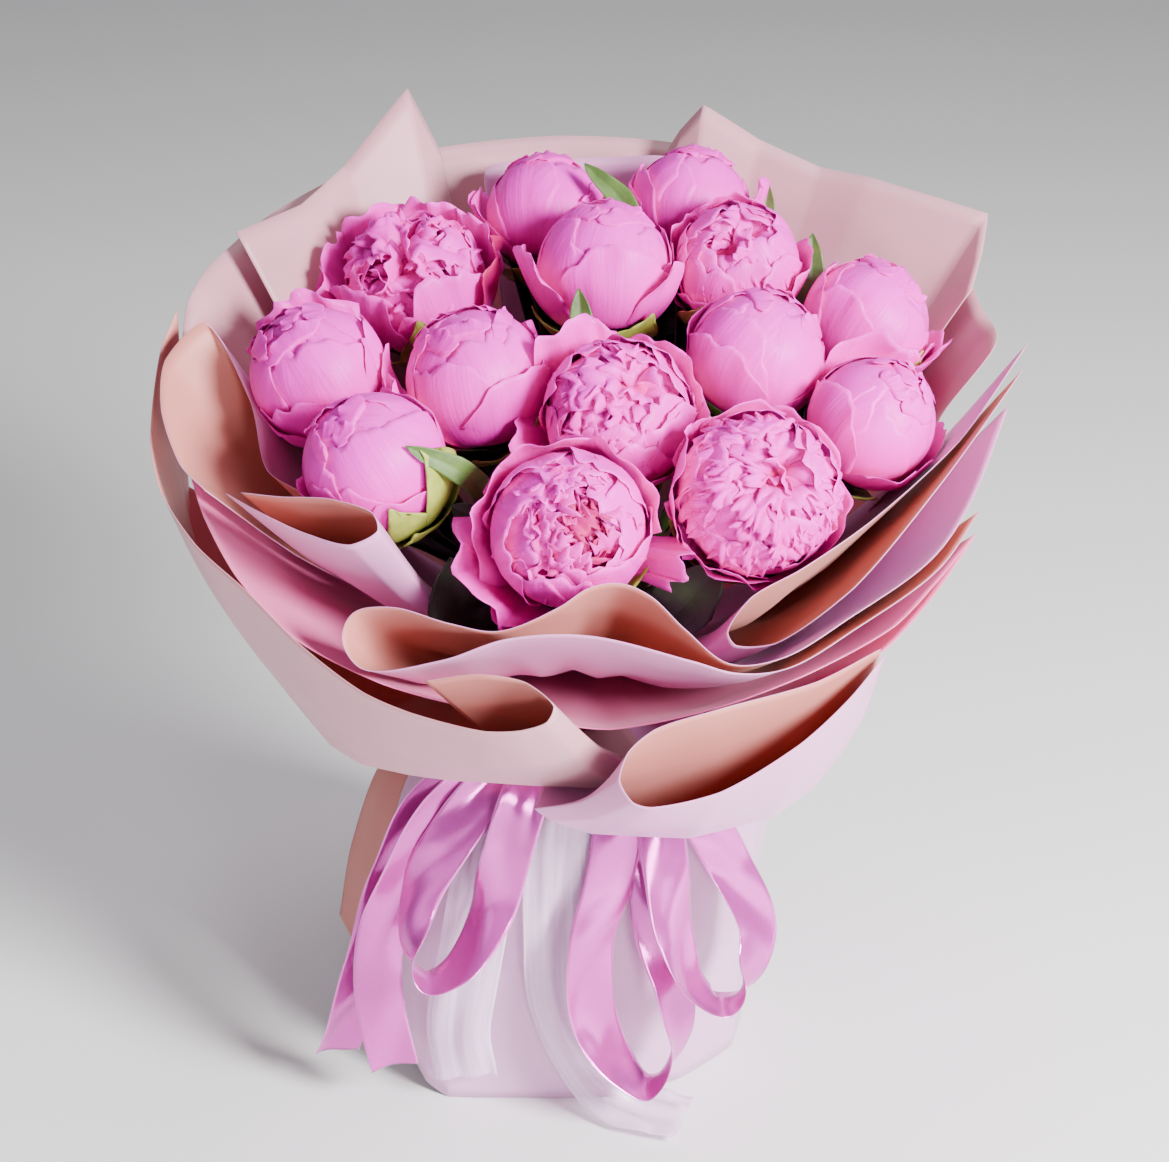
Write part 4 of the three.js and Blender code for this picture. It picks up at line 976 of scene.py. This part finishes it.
# ---- Ribbons: strips along routes of (x, y, z, yaw). The yaw turns the width, in degrees ----
BOW_STRIPS = [
    ("satin_tail_wide", SATIN_WIDTH, "satin_bow_left", [
        (-17, -57.8, 214, 0), (-44, -92, 205, 10), (-71, -102, 182, 15), (-89, -104, 150, 15),
        (-103, -104, 111, 10), (-106, -104, 84, 10), (-104, -102, 56, 10), (-99, -100, 28, 5)]),
    ("satin_tail_pointed", SATIN_WIDTH, "satin_bow_left", [
        (-19, -58.4, 213, 3), (-50, -86, 206, 10), (-80, -92, 180, 15), (-97, -90, 140, 20),
        (-108, -89, 102, 25), (-119, -86, 64, 25), (-131, -80, 24, 25)]),
    ("satin_loop_left", SATIN_WIDTH, "satin_bow_left", [
        (-15, -58, 214.5, -2), (-40, -94, 202, 10), (-68, -108, 168, -10), (-85, -112, 135, -40),
        (-88, -122, 111, -70), (-78, -128, 99, -85), (-64, -124, 104, -60), (-48, -114, 129, -30),
        (-38, -112, 165, 0), (-28, -104, 197, 0), (-11, -60, 216, 0)]),
    ("satin_loop_long", SATIN_WIDTH, "satin_bow_right", [
        (12, -57, 214, 0), (18, -92, 202, 0), (17, -106, 178, 0), (12, -110, 144, 10), (4, -116, 113, 20),
        (3, -118, 77, 20), (16, -120, 44, 50), (33, -122, 31, 80), (48, -118, 54, 65), (46, -114, 85, 35),
        (38, -110, 115, 15), (33, -102, 153, 0), (28, -98, 190, 0), (18, -58, 213, 0)]),
    ("satin_loop_right", SATIN_WIDTH, "satin_bow_right", [
        (18, -57, 212.5, 3), (32, -92, 200, 0), (41, -112, 155, 20), (46, -120, 119, 45),
        (54, -124, 94, 70), (69, -122, 82, 85), (82, -112, 88, 60), (88, -98, 108, 40), (76, -92, 140, 35),
        (54, -92, 182, 20), (21, -58, 213, 0)]),
    ("sheer_tail_right", SHEER_WIDTH, "sheer_ribbon", [
        (-4, -51, 202.5, 0), (-9, -80, 199, 0), (-12, -102, 184, 0), (-14, -103, 150, 0),
        (-14, -102, 110, 0), (-12, -99, 66, 0), (2, -100, 32, 10), (21, -106, 12, 25), (39, -112, 7, 30),
        (52, -116, 6, 30)]),
    ("sheer_tail_left", SHEER_WIDTH, "sheer_ribbon", [
        (-6, -51, 202.5, 0), (-30, -78, 198, -15), (-42, -92, 182, -20), (-48, -95, 160, -20),
        (-55, -97, 115, -15), (-62, -98, 78, -12), (-66, -98, 45, -10), (-62, -99, 20, -10)]),
]
RIBBON_THICKNESS, RIBBON_CLEARANCE = 0.35, 0.6


def ribbon_grid(route, width, seed, looped):
    """A ribbon's surface, which gathers at the knot and ripples softly, and the length up to each row."""
    t = linspace(0, 1, 20 * (len(route) - 1) + 1)
    points = vec(*route)
    middle = spline(points[:, :3], t)
    yaw = spline(points[:, 3:], t)[:, 0]
    ahead = unit(np.gradient(middle, axis=0))
    sideways = polar(yaw + 90, 1, 0)
    sideways = unit(sideways - ahead * np.sum(sideways * ahead, axis=1, keepdims=True))
    normal = cross(sideways, ahead)
    s = linspace(-1, 1, 15)[None, :, None]
    steps = norm(np.diff(middle, axis=0), axis=1)
    length = concatenate([[0], np.cumsum(steps)])[:, None, None]
    from_knot = minimum(length, length[-1] - length if looped else length)
    gather = 1 - 0.5 * exp(-((from_knot / 34) ** 2))
    cup = 0.11 * width * (s**2 - 0.4) * sin(length / 23 + seed)
    ripple = 0.03 * width * sin(3.1 * s + length / 9 + seed)
    folds = 1.5 * exp(-((from_knot / 48) ** 2)) * sin(7.5 * s + seed + length / 60)
    if width == SHEER_WIDTH:
        folds = folds + 1.3 * sin(6.5 * s + seed + length / 70)
    aside, out = s * gather * width / 2, cup + ripple + folds
    return middle[:, None] + aside * sideways[:, None] + out * normal[:, None], length[..., 0]


def add_ribbons():
    """The strips. The first of each bow stands for the bow's solid."""
    dressed = set()
    for seed, (name, width, node, route) in enumerate(BOW_STRIPS):
        slot, cloth = ("organza", ORGANZA) if width == SHEER_WIDTH else ("satin", SATIN)
        grid, length = ribbon_grid(route, width, seed, "loop" in name)
        grid[..., 2] = maximum(grid[..., 2], RIBBON_CLEARANCE)
        skin = Skin()
        skin.add(grid, RIBBON_THICKNESS, (length / 100, linspace(-1, 1, grid.shape[1])))
        piece = skin.build(name, slot, [cloth, cloth], None if node in dressed else node)
        dressed.add(node)


def add_band():
    """The satin wound round the neck in soft pleats, with a knot for each bow."""
    skin = Skin()
    turn = linspace(0, 2 * pi, 181)[None, :]
    v = linspace(0, 1, 41)[:, None]
    pleat = 0.9 * sin(2 * pi * (3.2 * v + 0.25 * sin(3 * turn))) * sin(pi * v) ** 0.5
    grid = polar(np.degrees(turn), BAND_R + 0.9 * sin(pi * v) + pleat, mix(BAND_LOW, BAND_HIGH, v))
    skin.add(grid, 0.5, (turn / 2, 2 * v - 1), outer=0)
    for x in (-16, 16):
        add_knot(skin, vec(x, -sqrt(BAND_R**2 - x**2) - 4, (BAND_LOW + BAND_HIGH) / 2), x)
    skin.build("satin_band_wrap", "satin", [SATIN, SATIN], "satin_band")


def add_knot(skin, centre, seed):
    """A knot: the ribbon wrapped over itself, with its folds running round it."""
    def shape(d):
        fold = 1 + 0.06 * sin(9 * d[..., 2] + 2 * d[..., 0] + seed) + 0.03 * sin(17 * d[..., 2] + seed)
        return d * vec(10, 7.5, 8.6) * fold[..., None]
    skin.add_ball(centre, shape, (0.3, 0), 36, 44)


# ---- Floor and light ----
FLOOR_HALF, FLOOR_COLOR, FLOOR_ROUGHNESS = 8, (0.88, 0.87, 0.88), 0.75
WORLD_COLOR, WORLD_STRENGTH = (0.95, 0.96, 1.0), 0.27
# Name, place, the height that it is aimed at, size and power.
LIGHTS = [
    ("key", (1.2, -1.15, 1.1), 0.3, 0.6, 130),
    ("fill", (-1.4, -1.4, 0.7), 0.25, 1.2, 4),
    ("front", (0.5, -1.7, 0.35), 0.3, 0.4, 18),
    ("top", (0.1, 0.5, 1.9), 0.35, 0.8, 12),
]


def add_floor():
    mesh = bpy.data.meshes.new("floor")
    corners = [(x * FLOOR_HALF, y * FLOOR_HALF, 0) for x, y in ((-1, -1), (1, -1), (1, 1), (-1, 1))]
    mesh.from_pydata(corners, [], [(0, 1, 2, 3)])
    mesh.materials.append(Shader("floor_white", FLOOR_COLOR, FLOOR_ROUGHNESS).material)
    new_object("floor", mesh)


def add_light(name, location, aim, size, power):
    light = bpy.data.lights.new(name, "AREA")
    light.shape = "DISK"
    light.size = size
    light.energy = power
    lamp = new_object(name, light)
    lamp.location = location
    lamp.rotation_euler = (Vector((0, 0, aim)) - lamp.location).to_track_quat("-Z", "Y").to_euler()


def add_world():
    world = bpy.data.worlds.new("studio")
    bpy.context.scene.world = world
    world.use_nodes = True
    background = world.node_tree.nodes["Background"]
    background.inputs["Color"].default_value = (*WORLD_COLOR, 1)
    background.inputs["Strength"].default_value = WORLD_STRENGTH


# ---- The scene ----
add_camera()
set_up_blooms()
for sheet in SHEETS:
    add_paper(sheet)
add_foot()
for b in BLOOMS:
    add_bloom(b)
    add_stem(b)
add_twine()
add_band()
add_ribbons()
add_floor()
add_world()
for light in LIGHTS:
    add_light(*light)
